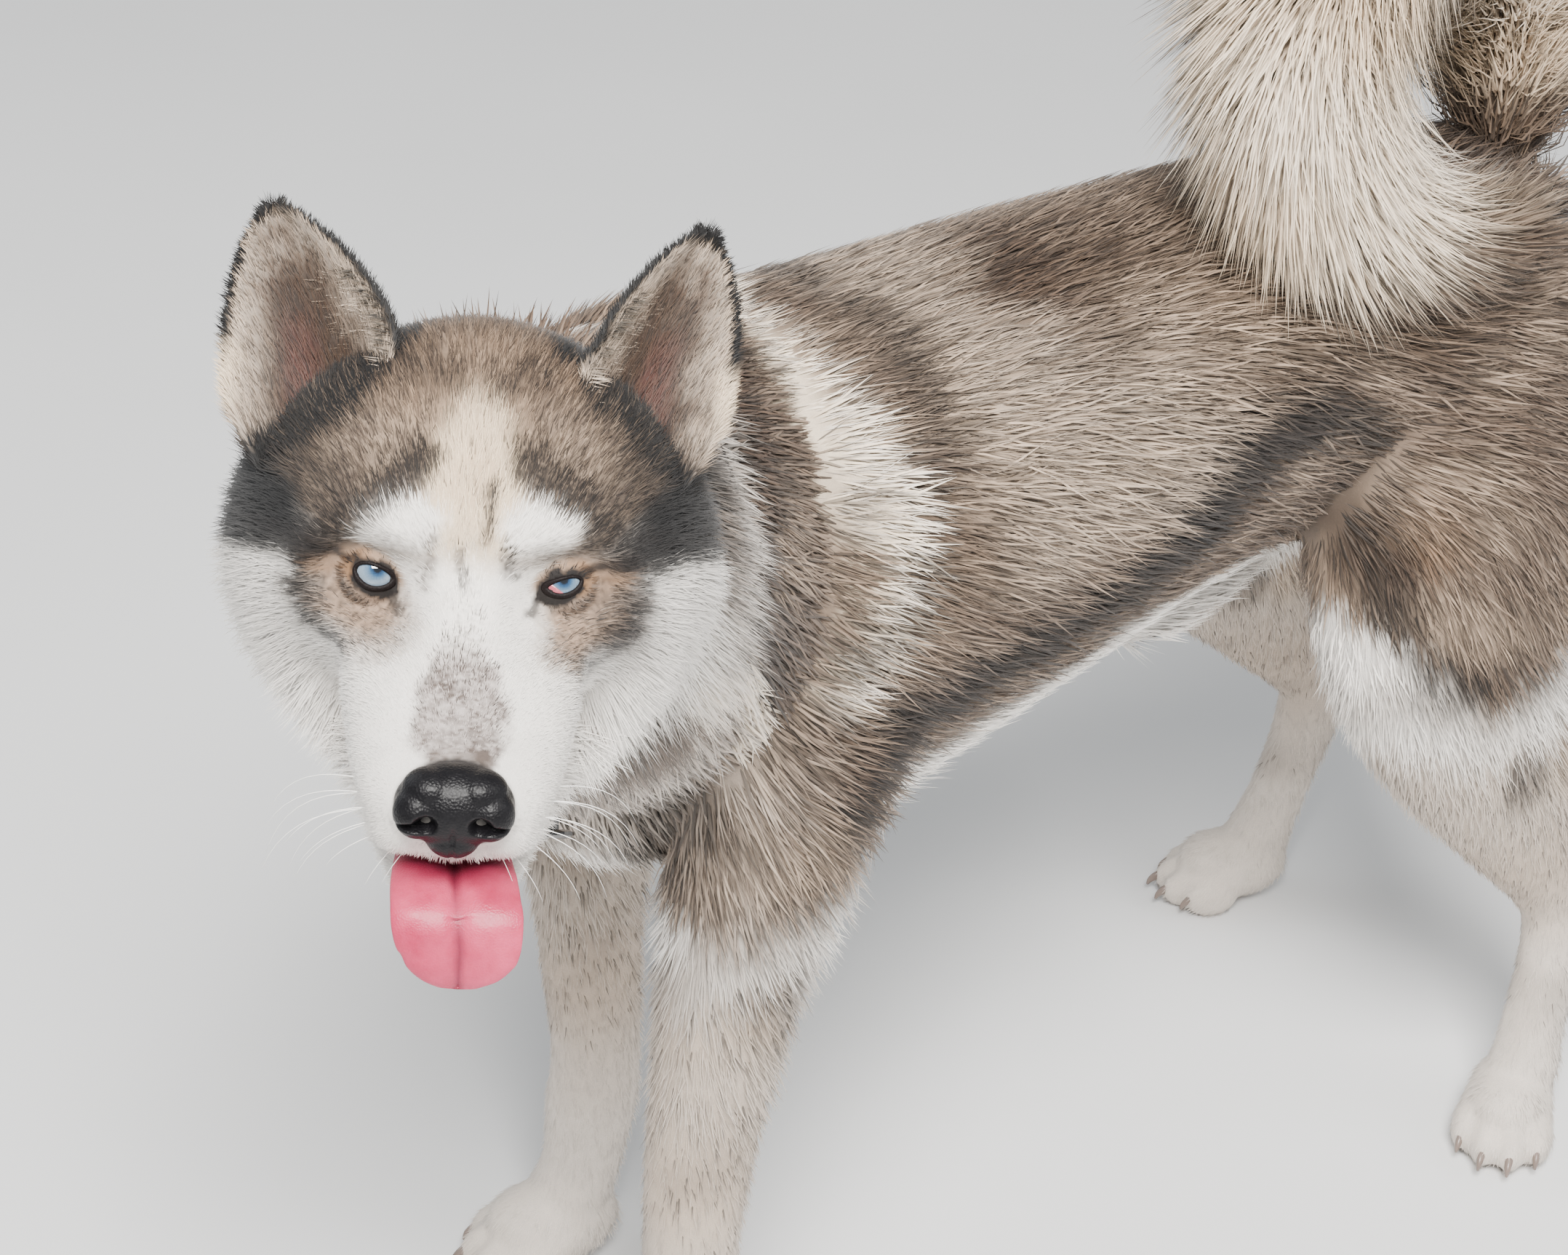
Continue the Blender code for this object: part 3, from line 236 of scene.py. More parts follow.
foreleg = {
    "sections": [
        ((0.068, -0.180, 0.400), 0.042, 0.064), ((0.073, -0.198, 0.345), 0.038, 0.048),
        ((0.075, -0.213, 0.300), 0.033, 0.039), ((0.075, -0.224, 0.250), 0.0295, 0.033),
        ((0.073, -0.234, 0.180), 0.0260, 0.0285), ((0.072, -0.238, 0.125), 0.0240, 0.0260),
        ((0.072, -0.240, 0.092), 0.0255, 0.0265), ((0.073, -0.245, 0.055), 0.0225, 0.0235),
        ((0.074, -0.255, 0.028), 0.0245, 0.0260),
    ],
    "paw": ((0.075, -0.267), 8.0, 1.0),
    "rightBack": 0.046,
    "rightOut": 0.010,
    "footShare": 0.85,
    "coat": 0.0034,
}

hindleg = {
    "sections": [
        ((0.058, 0.215, 0.450), 0.046, 0.092), ((0.074, 0.205, 0.385), 0.052, 0.098),
        ((0.092, 0.198, 0.325), 0.046, 0.082), ((0.102, 0.214, 0.265), 0.038, 0.060),
        ((0.106, 0.248, 0.205), 0.0285, 0.042), ((0.108, 0.283, 0.150), 0.0215, 0.0310),
        ((0.110, 0.287, 0.115), 0.0195, 0.0255), ((0.113, 0.277, 0.070), 0.0185, 0.0215),
        ((0.117, 0.268, 0.035), 0.0215, 0.0235),
    ],
    "paw": ((0.124, 0.252), 36.0, 0.94),
    "rightBack": 0.042,
    "rightOut": 0.016,
    "rightTurn": 22.0,
    "footShare": 0.5,
    "coat": 0.0034,
}

head = {
    "sections": [
        ((0.0, 0.128, -0.006), 0.056, 0.050), ((0.0, 0.102, -0.007), 0.080, 0.076),
        ((0.0, 0.064, -0.010), 0.0885, 0.0890), ((0.0, 0.034, -0.014), 0.0790, 0.0770),
        ((0.0, 0.018, -0.017), 0.0680, 0.0625), ((0.0, 0.004, -0.0245), 0.0530, 0.0410),
        ((0.0, -0.014, -0.0315), 0.0435, 0.0300), ((0.0, -0.032, -0.0380), 0.0400, 0.0275),
        ((0.0, -0.058, -0.0445), 0.0365, 0.0240), ((0.0, -0.082, -0.0470), 0.0310, 0.0205),
        ((0.0, -0.0935, -0.0465), 0.0240, 0.0175), ((0.0, -0.0990, -0.0500), 0.0150, 0.0105),
    ],
    "square": 1.9,
    "brow": ((0.030, 0.0085, 0.0135), (0.020, 0.014, 0.0115)),
    "lip": ((0.0165, -0.066, -0.0560), (0.0150, 0.0300, 0.0135)),
    "earRoot": ((0.053, 0.078, 0.034), (0.023, 0.016, 0.024)),
    "jaw": [
        ((0.0, 0.040, -0.072), 0.040, 0.022), ((0.0, 0.006, -0.079), 0.034, 0.0175),
        ((0.0, -0.028, -0.0845), 0.0280, 0.0130), ((0.0, -0.056, -0.0870), 0.0220, 0.0100),
        ((0.0, -0.074, -0.0860), 0.0145, 0.0078),
    ],
    "faceCoat": 0.0016,
    "skullCoat": 0.0060,
    "eyeHollow": (0.0270, 0.0225),
    "eyeSeat": 0.62,
    "eyeRadius": 0.0110,
    "eyeOutward": 24.0,
    "presses": [
        ((0.046, 0.002, -0.030), (0.024, 0.030, 0.022), (-0.004, 0.0, 0.0)),
        ((0.0, -0.008, 0.030), (0.014, 0.040, 0.034), (0.0, 0.0030, 0.0)),
    ],
    "opening": {1: (0.0052, 0.0019, 0.0026), -1: (0.0056, 0.0030, 0.0036)},   # half width, up and down
    "openingTilt": 0.26,
    "openingShift": {1: (-0.0034, 0.0026), -1: (-0.0044, 0.0026)},
    "gaze": {1: (0.060, -0.930, 0.360), -1: (0.132, -0.905, 0.400)},
}

tail = {
    "centre": (0.0, 0.168, 0.606),
    "ring": 0.078,
    "start": -46.0,
    "end": 292.0,
    "side": 0.098,
    "coat": 0.064,
    "core": 0.36,
}


def tailPoint(share):
    turn = math.radians(tail["start"] + (tail["end"] - tail["start"]) * share)
    ring = tail["ring"] * (1.0 + 0.95 * max(0.0, 1.0 - share / 0.30) ** 2 - 0.06 * share)
    side = tail["side"] * share ** 1.4
    return Vector(tail["centre"]) + Vector((side, math.cos(turn) * ring, math.sin(turn) * ring))


def tailRadius(share):
    swell = math.sin(math.pi * min(1.0, 0.16 + 0.80 * share)) ** 0.7
    return tail["coat"] * (0.30 + 0.70 * swell)


def legSections(leg, side):
    back, out = (leg["rightBack"], leg["rightOut"]) if side < 0 else (0.0, 0.0)
    foot = leg["footShare"] if side < 0 else 1.0
    rows = []
    for (x, y, z), a, b in leg["sections"]:
        share = min(1.0, max(0.0, (0.42 - z) / 0.28))
        share *= 1.0 - (1.0 - foot) * max(0.0, 0.14 - z) / 0.14
        rows.append(((side * (x + out * share), y + back * share, z), a, b))
    return rows


def pawPlaces():
    places = []
    for leg, side in ((foreleg, 1), (foreleg, -1), (hindleg, 1), (hindleg, -1)):
        (x, y), turn, size = leg["paw"]
        if side < 0:
            share = leg["footShare"]
            x, y = -x - leg["rightOut"] * share, y + leg["rightBack"] * share
            turn = -leg.get("rightTurn", turn)
        frameOfPaw = Matrix.Translation((x, y, 0.0)) @ Matrix.Rotation(math.radians(turn), 4, "Z")
        places.append(frameOfPaw @ Matrix.Scale(size, 4))
    return places


def pawForms(place):
    inset = 0.0012
    forms = [
        egg((0, 0.010, 0.024), (0.025, 0.034, 0.023), inset, place),
        egg((0, -0.002, 0.030), (0.022, 0.026, 0.016), inset, place),
    ]
    for across, forward in ((-0.0205, -0.012), (-0.0075, -0.023), (0.0075, -0.023), (0.0205, -0.012)):
        forms.append(egg((across, forward, 0.0132), (0.0096, 0.0190, 0.0150), inset, place))
        forms.append(egg((across * 0.92, forward + 0.012, 0.0225), (0.0082, 0.0150, 0.0105), inset, place))
    return forms


def settleEyes(points):
    dx = np.abs(points[:, 0]) - eyeLocal.x
    dz = points[:, 2] - eyeLocal.z
    away = np.hypot(dx / head["eyeHollow"][0], dz / head["eyeHollow"][1])
    near = np.clip((1.0 - away) * 1.38, 0.0, 1.0)
    near = near * near * (3.0 - 2.0 * near)
    seat = eyeLocal.y - head["eyeRadius"] * head["eyeSeat"] + 0.0012
    level = seat + dx * math.tan(math.radians(head["eyeOutward"]))
    use = (away < 1.0) & (points[:, 1] < eyeLocal.y + 0.02)
    points[:, 1] += np.where(use, (level - points[:, 1]) * near, 0.0)
    return points


def eyeMatrix(side):
    place = Matrix.Translation((eyeLocal.x * side, eyeLocal.y, eyeLocal.z))
    return place @ Matrix.Rotation(math.radians(head["eyeOutward"] * side), 4, "Z")


def lidEdge(side, turn):
    # the lids' edge on the eye's own axes: x outward and z up
    half, up, down = head["opening"][side]
    c, s = math.cos(turn), math.sin(turn)
    x = half * c
    z = (up if s > 0 else -down) * abs(s) ** 1.25
    inward, upward = head["openingShift"][side]
    return x + inward, z + head["openingTilt"] * x + upward


def eyeShares(local, side):
    # outward, upward and forward from the middle of a lid opening, in shares of its size
    half, up, down = head["opening"][side]
    inward, upward = head["openingShift"][side]
    angle = math.radians(head["eyeOutward"])
    x = local[:, 0] * side - eyeLocal.x
    y = local[:, 1] - eyeLocal.y
    across = (x * math.cos(angle) + y * math.sin(angle) - inward)
    high = local[:, 2] - eyeLocal.z - upward - head["openingTilt"] * (across + inward)
    return across / half, high / np.where(high > 0, up, down), y


def lidShell(side):
    # both lids as a thick ring over the eyeball, its outer part sunk in the face
    around, across = 64, 10
    radius = head["eyeRadius"]
    points = []
    for layer in (0, 1):
        for k in range(around):
            turn = 2 * math.pi * k / around
            ex, ez = lidEdge(side, turn)
            ox, oz = 0.0150 * math.cos(turn) - 0.0010, 0.0140 * math.sin(turn) + 0.0010
            for n in range(across + 1):
                t = n / across
                x, z = ex + (ox - ex) * t, ez + (oz - ez) * t
                out = math.hypot(x, z)
                thick = 0.0013 if layer == 0 else -0.0012
                ball = radius + thick
                y = -math.sqrt(max(ball * ball - out * out, (ball * 0.42) ** 2))
                upper = max(0.0, math.sin(turn))
                fold = 0.0008 * upper * math.exp(-((t - 0.30) / 0.16) ** 2)
                fold -= 0.0002 * upper * math.exp(-((t - 0.62) / 0.10) ** 2)
                sink = max(0.0, (t - 0.52) / 0.48) ** 2 * 0.0052 * (1 - 0.5 * upper)
                if layer == 0:
                    y += sink - fold
                else:
                    y = max(y, -radius * 0.50)
                points.append(Vector((x * side, y, z)))
    size = across + 1
    shiftBack = around * size
    faces = []
    for k in range(around):
        m = (k + 1) % around
        for n in range(across):
            a, b, c, d = k * size + n, m * size + n, m * size + n + 1, k * size + n + 1
            faces += [(a, b, c, d), (shiftBack + d, shiftBack + c, shiftBack + b, shiftBack + a)]
        for n in (0, across):
            a, b = k * size + n, m * size + n
            faces.append((a, b, shiftBack + b, shiftBack + a))
    piece = meshFrom("lids", points, faces)
    piece.data.transform(eyeMatrix(side))
    return piece


def melt(piece, voxel, smoothing):
    step = piece.modifiers.new("remesh", "REMESH")
    step.mode = "VOXEL"
    step.voxel_size = voxel
    soften = piece.modifiers.new("soften", "SMOOTH")
    soften.factor = 0.5
    soften.iterations = smoothing
    applyAll(piece)


def meshPoints(piece):
    points = np.zeros(len(piece.data.vertices) * 3)
    piece.data.vertices.foreach_get("co", points)
    return points.reshape(-1, 3)


def makeSkin():
    forms = []
    coat = torso["coat"]
    rows = []
    for y, top, low, half in torso["sections"]:
        rows.append(((0, y, (top + low) / 2), half - coat, (top - low) / 2 - coat))
    forms.append(loft(rows, 36, egg=torso["egg"], square=2.15, cap=0.22))
    forms.append(loft(neck["sections"], 36, inset=neck["coat"]))
    for side in (1, -1):
        forms.append(egg((side * 0.070, -0.186, 0.420), (0.044, 0.062, 0.092), 0.010))
        forms.append(egg((side * 0.064, 0.212, 0.425), (0.050, 0.096, 0.098), 0.009))
        forms.append(loft(legSections(foreleg, side), inset=foreleg["coat"]))
        forms.append(loft(legSections(hindleg, side), inset=hindleg["coat"]))
    for place in pawPlaces():
        forms += pawForms(place)
    forms.append(egg((0.0, 0.105, 0.338), (0.017, 0.058, 0.022), 0.003, turn=Matrix.Rotation(0.35, 4, "X")))
    stations = []
    for k in range(31):
        share = k / 30
        radius = tailRadius(share) * tail["core"]
        stations.append((tuple(tailPoint(share)), radius, radius))
    forms.append(loft(stations, 20, 2))
    depth = []
    for centre, a, b in head["sections"]:
        skull = min(1.0, max(0.0, (centre[1] + 0.02) / 0.07))
        inset = head["faceCoat"] + (head["skullCoat"] - head["faceCoat"]) * skull
        depth.append((centre, a - inset, b - inset))
    forms.append(loft(depth, 48, 6, square=head["square"], place=headAtDrawing))
    for side in (1, -1):
        for (x, y, z), radii in (head["brow"], head["lip"], head["earRoot"]):
            forms.append(egg((x * side, y, z), radii, 0.0015, headAtDrawing))
    forms.append(loft(head["jaw"], 28, 4, inset=0.002, place=headAtDrawing))
    skin = joinPieces(forms, "skin")
    melt(skin, animal["formVoxel"], 6)
    # the sockets are drawn back so that the eyeballs show between the lids
    skin.data.transform(headAtDrawing.inverted())
    points = meshPoints(skin)
    face = (points[:, 1] < 0.06) & (np.abs(points[:, 0]) < 0.09) & (points[:, 2] > -0.06)
    points[face] = settleEyes(points[face])
    for centre, radii, push in head["presses"]:
        for side in ((1, -1) if centre[0] else (1,)):
            away = (points - np.array((centre[0] * side, centre[1], centre[2]))) / np.array(radii)
            near = np.clip(1 - np.linalg.norm(away, axis=1), 0, 1)
            near = near * near * (3 - 2 * near)
            points += near[:, None] * np.array((push[0] * side, push[1], push[2]))
    skin.data.vertices.foreach_set("co", points.ravel())
    skin = joinPieces([skin] + [lidShell(side) for side in (1, -1)], "skin")
    melt(skin, animal["skinVoxel"] * (1.0), 2)
    points = meshPoints(skin)
    # behind the head fewer faces are enough
    group = skin.vertex_groups.new(name="body")
    behind = np.nonzero((points[:, 1] > 0.10) | (np.abs(points[:, 0]) > 0.12))[0]
    group.add([int(i) for i in behind], 1.0, "REPLACE")
    thin = skin.modifiers.new("thin", "DECIMATE")
    thin.ratio = animal["bodyFaces"]
    thin.vertex_group = "body"
    thin.vertex_group_factor = 1.0
    applyAll(skin)
    skin.data.transform(headToPart)
    skin.data.shade_smooth()
    return skin


skin = makeSkin()
print("skin", len(skin.data.polygons), "faces")


# How the coat lies: guides on the surface, each with a lie, a length, a width and a standing angle

guides = {"place": [], "lie": [], "sizes": []}


def addGuide(place, lie, length, width, lift):
    guides["place"].append(tuple(place))
    guides["lie"].append(tuple(Vector(lie).normalized()))
    guides["sizes"].append((length, width, lift))


headGuides = [  # place and lie in the head's frame, both sides; length, width (mm) and standing angle
    ((0, -86, -27), (0.05, 1.0, 0.25), (3.2, 0.55, 12)),
    ((9, -84, -30), (0.50, 1.0, 0.10), (3.2, 0.55, 12)),
    ((0, -60, -20), (0.05, 1.0, 0.30), (4.2, 0.60, 12)),
    ((14, -62, -26), (0.45, 1.0, 0.05), (4.4, 0.60, 13)),
    ((0, -32, -10), (0.05, 1.0, 0.45), (5.2, 0.65, 13)),
    ((22, -34, -22), (0.55, 1.0, -0.05), (5.6, 0.65, 14)),
    ((0, -10, 6), (0.05, 0.60, 1.0), (6.0, 0.65, 15)),
    ((0, 8, 28), (0.05, 0.60, 1.0), (7.0, 0.70, 15)),
    ((0, 22, 52), (0.05, 0.9, 0.80), (8.5, 0.75, 15)),
    ((0, 50, 78), (0.05, 1.0, -0.05), (12.0, 0.80, 9)),
    ((0, 85, 72), (0.0, 1.0, -0.75), (16.0, 0.95, 9)),
    ((0, 115, 42), (0.0, 1.0, -0.60), (27.0, 1.2, 14)),
    ((20, 2, 18), (0.20, 0.50, 1.0), (6.0, 0.65, 16)),
    ((30, 2, 20), (0.45, 0.5, 1.0), (6.5, 0.65, 18)),
    ((46, 12, 16), (0.9, 0.7, 0.55), (7.5, 0.70, 15)),
    ((24, 20, 44), (0.35, 0.9, 0.85), (8.0, 0.75, 15)),
    ((50, 30, 36), (0.70, 0.9, 0.50), (9.0, 0.80, 15)),
    ((30, 50, 68), (0.35, 1.0, 0.10), (11.0, 0.80, 11)),
    ((18, -10, -8), (0.65, 0.7, -0.25), (4.0, 0.55, 10)),
    ((46, 8, -4), (1.0, 0.7, -0.10), (5.5, 0.60, 12)),
    ((30, -6, -20), (0.8, 1.0, -0.35), (5.5, 0.62, 12)),
    ((52, 14, -16), (0.9, 0.9, -0.35), (9.0, 0.75, 15)),
    ((28, -70, -44), (0.35, 1.0, -0.30), (4.6, 0.60, 14)),
    ((34, -52, -48), (0.40, 1.0, -0.35), (5.4, 0.62, 15)),
    ((24, -78, -60), (0.35, 0.8, -0.70), (4.6, 0.60, 18)),
    ((34, -50, -66), (0.35, 0.8, -0.80), (6.0, 0.65, 20)),
    ((42, -22, -38), (0.60, 1.0, -0.35), (7.5, 0.70, 16)),
    ((46, -8, -58), (0.50, 0.8, -0.75), (12.0, 0.80, 20)),
    ((62, 16, -36), (0.70, 0.8, -0.60), (16.0, 0.95, 20)),
    ((78, 36, -24), (0.80, 0.8, -0.55), (22.0, 1.10, 22)),
    ((66, 28, -62), (0.55, 0.6, -0.95), (24.0, 1.15, 22)),
    ((88, 64, -22), (0.60, 0.8, -0.60), (29.0, 1.25, 24)),
    ((48, 30, -84), (0.30, 0.5, -1.0), (25.0, 1.15, 22)),
    ((70, 76, -66), (0.45, 0.6, -0.90), (32.0, 1.35, 24)),
    ((72, 40, 12), (0.85, 0.8, -0.10), (14.0, 0.90, 18)),
    ((84, 62, 12), (0.80, 0.9, -0.20), (20.0, 1.05, 20)),
    ((60, 92, 34), (0.35, 1.0, -0.60), (20.0, 1.10, 12)),
    ((50, 60, 52), (0.25, 0.6, 1.0), (9.0, 0.75, 16)),
    ((0, -74, -95), (0.0, 1.0, -0.35), (6.0, 0.65, 20)),
    ((20, -56, -92), (0.25, 1.0, -0.45), (7.0, 0.70, 20)),
    ((0, -30, -98), (0.0, 1.0, -0.50), (10.0, 0.80, 22)),
    ((32, -12, -90), (0.25, 0.8, -0.75), (13.0, 0.85, 22)),
    ((0, 20, -98), (0.0, 0.7, -0.90), (22.0, 1.10, 24)),
    ((30, 50, -98), (0.15, 0.6, -1.0), (28.0, 1.25, 24)),
]


pawGuides = [  # places in the paw's own frame, toes to -Y
    (0, 0.03, 0.035), (0, -0.01, 0.042), (0.02, 0.0, 0.03), (-0.02, 0.0, 0.03), (0, -0.036, 0.018),
    (0.02, -0.028, 0.016), (-0.02, -0.028, 0.016), (0.03, 0.012, 0.014), (-0.03, 0.012, 0.014), (0, 0.045, 0.014),
]


def bodyGuides():
    for (x, y, z), (lx, ly, lz), (length, width, lift) in headGuides:
        for side in ((1, -1) if x else (1,)):
            place = headToPart @ Vector((x * side / 1000, y / 1000, z / 1000))
            lie = headToPart.to_3x3() @ Vector((lx * side, ly, lz))
            addGuide(place, lie, length / 1000, width / 1000, lift)
    coat = torso["coat"]
    for y, top, low, half in torso["sections"]:
        for n in range(16):
            turn = 2 * math.pi * n / 16
            c, s = math.cos(turn), math.sin(turn)
            across = (half - coat) * c * (1 + torso["egg"] * s)
            place = Vector((across, y, (top + low) / 2 + (top - low) / 2 * s))
            chest = max(0.0, min(1.0, (-0.20 - y) / 0.07))
            rump = max(0.0, min(1.0, (y - 0.24) / 0.07))
            fall = -0.42 * abs(c) - 0.9 * chest - 0.8 * rump
            lie = Vector((0.10 * c, 1.0 - 0.75 * chest - 0.5 * rump, fall))
            length = 0.031 + 0.002 * chest + 0.010 * rump - 0.004 * max(0.0, -s)
            addGuide(toPart @ place, lie, length, 0.00165, 20 + 4 * chest)
    stations = [Vector(row[0]) for row in neck["sections"]]
    for k, (centre, a, b) in enumerate(neck["sections"]):
        along = (stations[min(k + 1, 4)] - stations[max(k - 1, 0)]).normalized()
        side = (Vector((1, 0, 0)) - along * along.x).normalized()
        up = side.cross(along)
        for n in range(16):
            turn = 2 * math.pi * n / 16
            out = side * math.cos(turn) + up * math.sin(turn)
            place = Vector(centre) + side * (a - 0.015) * math.cos(turn) + up * (b - 0.015) * math.sin(turn)
            lie = -along + Vector((0, 0, -0.55 * (1 - max(0.0, out.z))))
            if k >= 1 or out.z > -0.3:
                topward = max(0.0, out.z)
                addGuide(toPart @ place, lie, 0.036 - 0.012 * topward, 0.0015, 24 - 12 * topward)
    for leg, isHind in ((foreleg, False), (hindleg, True)):
        for side in (1, -1):
            rows = legSections(leg, side)
            for k, (centre, a, b) in enumerate(rows[1:], 1):
                for n in range(8):
                    turn = 2 * math.pi * n / 8
                    place = Vector(centre) + Vector((a * math.cos(turn), b * math.sin(turn), 0))
                    behind = max(0.0, math.sin(turn))
                    high = max(0.0, min(1.0, (centre[2] - 0.16) / 0.16))
                    length = 0.0085 + 0.012 * high + 0.008 * behind * (0.35 + 0.8 * high)
                    lie = Vector((0, 0.10 + 0.30 * behind + 0.25 * high, -1.0))
                    lift = 13 + 8 * high + 8 * behind
                    addGuide(toPart @ place, lie, length, 0.00085 + 0.0006 * high, lift)
                    if k == 1 and not isHind:
                        guides["sizes"][-1] = (length + 0.006, 0.0016, lift)
    for paw in pawPlaces():
        turn = paw.to_3x3()
        for x, y, z in pawGuides:
            lie = turn @ Vector((x * 12, -1.0 if y < 0.02 else -0.2, -0.75))
            addGuide(toPart @ (paw @ Vector((x, y, z))), lie, 0.0058, 0.00075, 14)
    for k in range(49):
        share = k / 48
        centre = tailPoint(share)
        along = (tailPoint(min(share + 0.02, 1.0)) - tailPoint(max(share - 0.02, 0.0))).normalized()
        side = (Vector((1, 0, 0)) - along * along.x).normalized()
        up = side.cross(along)
        inward = (Vector(tail["centre"]) - centre)
        inward.x = 0
        inward.normalize()
        for n in range(8):
            turn = 2 * math.pi * n / 8
            out = side * math.cos(turn) + up * math.sin(turn)
            facing = max(0.0, out.dot(inward))
            radius = tailRadius(share)
            length = radius * (1.02 - 0.10 * facing)
            addGuide(toPart @ (centre + out * radius * tail["core"]), along, length, 0.0017, 54 + 10 * facing)


bodyGuides()
guidePlaces = np.array(guides["place"])
guideLies = np.array(guides["lie"])
guideSizes = np.array(guides["sizes"])
guideTree = KDTree(len(guidePlaces))
for index, place in enumerate(guidePlaces):
    guideTree.insert(Vector(place), index)
guideTree.balance()
print("coat guides", len(guidePlaces))


def combed(points):
    lies = np.zeros((len(points), 3))
    sizes = np.zeros((len(points), 3))
    for k, point in enumerate(points):
        found = guideTree.find_n(point, 5)
        which = [f[1] for f in found]
        weight = np.array([1.0 / (f[2] + 0.004) ** 2 for f in found])
        weight /= weight.sum()
        lies[k] = weight @ guideLies[which]
        sizes[k] = weight @ guideSizes[which]
    return lies, sizes


# Markings, painted in layers from the ground colour up. Head layers are placed in the head's own frame

lattice = rng.random((32, 32, 32))


def grain(points, size, offset=0.0):
    cell = points / size + offset
    base = np.floor(cell).astype(int)
    part = cell - base
    part = part * part * (3 - 2 * part)
    total = np.zeros(len(points))
    for dx in (0, 1):
        for dy in (0, 1):
            for dz in (0, 1):
                weight = np.ones(len(points))
                for axis, d in enumerate((dx, dy, dz)):
                    weight *= part[:, axis] if d else 1 - part[:, axis]
                corner = (base + (dx, dy, dz)) % 32
                total += lattice[corner[:, 0], corner[:, 1], corner[:, 2]] * weight
    return total * 2 - 1


def soft(value, start, end):
    t = np.clip((value - start) / (end - start), 0.0, 1.0)
    return t * t * (3 - 2 * t)


colours = {
    "white": srgb(248, 242, 234),
    "cream": srgb(234, 211, 180),
    "beige": srgb(186, 162, 138),
    "paleGrey": srgb(184, 170, 156),
    "grey": srgb(106, 90, 78),
    "brown": srgb(66, 46, 32),
    "tan": srgb(150, 110, 72),
    "dark": srgb(27, 21, 19),
    "black": srgb(13, 11, 11),
    "flesh": srgb(92, 52, 46),
    "mauve": srgb(136, 116, 113),
}

# colour, tip colour, centre and radii in the head's x and z (mm), depth limits in y, strength, softness
headBlobs = [
    ("cream", "cream", (1, 30), (15, 24), (-20, 60), 0.95, 0.30),
    ("tan", "cream", (1, 36), (12, 15), (-20, 60), 0.45, 0.9),
    ("white", "white", (24, 21), (13, 8.5), (-30, 30), 1.0, 0.35),
    ("white", "white", (-23, 20), (13, 8.5), (-30, 30), 1.0, 0.35),
    ("white", "white", (-30, 15), (8, 5), (-30, 30), 0.9, 0.5),
    ("white", "white", (0, -3), (13, 14), (-40, 30), 0.9, 0.6),
    ("tan", "brown", (-36, -10), (18, 11), (-30, 30), 0.85, 0.45),
    ("tan", "brown", (42, -13), (17, 12), (-30, 30), 0.85, 0.45),
    ("grey", "dark", (53, -12), (8, 17), (-30, 45), 0.75, 0.7),
    ("grey", "dark", (-54, -6), (6, 14), (-30, 45), 0.75, 0.8),
    ("dark", "black", (-55, 27), (14, 11), (-30, 60), 0.65, 0.8),
    ("dark", "black", (56, 28), (14, 11), (-30, 60), 0.65, 0.8),
    ("tan", "brown", (-47, 4), (11, 7), (-30, 40), 0.85, 0.5),
    ("tan", "brown", (47, 3), (11, 7), (-30, 40), 0.85, 0.5),
    ("grey", "dark", (-54, 8), (9, 6), (-30, 40), 0.75, 0.6),
    ("grey", "dark", (54, 7), (9, 6), (-30, 40), 0.75, 0.6),
    ("black", "black", (-72, 13), (19, 13), (-10, 96), 1.0, 0.30),
    ("black", "black", (72, 13), (19, 13), (-10, 96), 1.0, 0.30),
    ("black", "black", (-84, 4), (15, 12), (20, 100), 1.0, 0.30),
    ("black", "black", (86, 6), (14, 9), (30, 96), 1.0, 0.30),
]

# colour, tip colour, course in the head's x and z (mm), half width, depth limits in y, strength, softness
headBands = [
    ("black", "black", ((-24, 74), (-34, 63), (-45, 51), (-65, 35), (-86, 13)), 6.5, (0, 95), 1.0, 0.35),
    ("black", "black", ((27, 74), (36, 64), (46, 54), (66, 35), (88, 6)), 6.5, (0, 95), 1.0, 0.35),
    ("dark", "black", ((-16, 39), (-30, 29), (-44, 15), (-60, 4), (-78, 2)), 5.0, (-30, 60), 0.92, 0.8),
    ("dark", "black", ((17, 40), (31, 32), (47, 16), (62, 4), (78, 2)), 5.0, (-30, 60), 0.92, 0.8),
    ("dark", "black", ((6, 32), (6.5, 26), (6, 19)), 1.9, (-30, 40), 0.95, 0.9),
    ("dark", "black", ((-2, 14), (-1.5, 9), (-1, 3)), 1.7, (-30, 40), 0.90, 0.9),
    ("brown", "dark", ((-12, 18), (-12.5, 10), (-13, 1)), 1.5, (-30, 40), 0.70, 1.0),
    ("dark", "black", ((12.5, 15), (14, 10), (16, 4)), 1.7, (-30, 40), 0.85, 0.9),
    ("dark", "black", ((-8, 59), (-16, 63), (-22, 60)), 3.0, (0, 70), 0.65, 1.0),
    ("dark", "black", ((8, 58), (15, 62), (22, 60)), 3.0, (0, 70), 0.65, 1.0),
    ("dark", "black", ((-56, 0), (-57, -8), (-53, -20), (-40, -24)), 2.4, (-30, 40), 0.85, 0.8),
    ("dark", "dark", ((58, 0), (58, -12), (52, -25), (42, -30)), 2.6, (-30, 40), 0.60, 0.9),
]


def alongCourse(x, z, course):
    nearest = np.full(len(x), 1e9)
    for (ax, az), (bx, bz) in zip(course, course[1:]):
        dx, dz = bx - ax, bz - az
        t = np.clip(((x - ax) * dx + (z - az) * dz) / (dx * dx + dz * dz), 0, 1)
        nearest = np.minimum(nearest, np.hypot(x - ax - t * dx, z - az - t * dz))
    return nearest


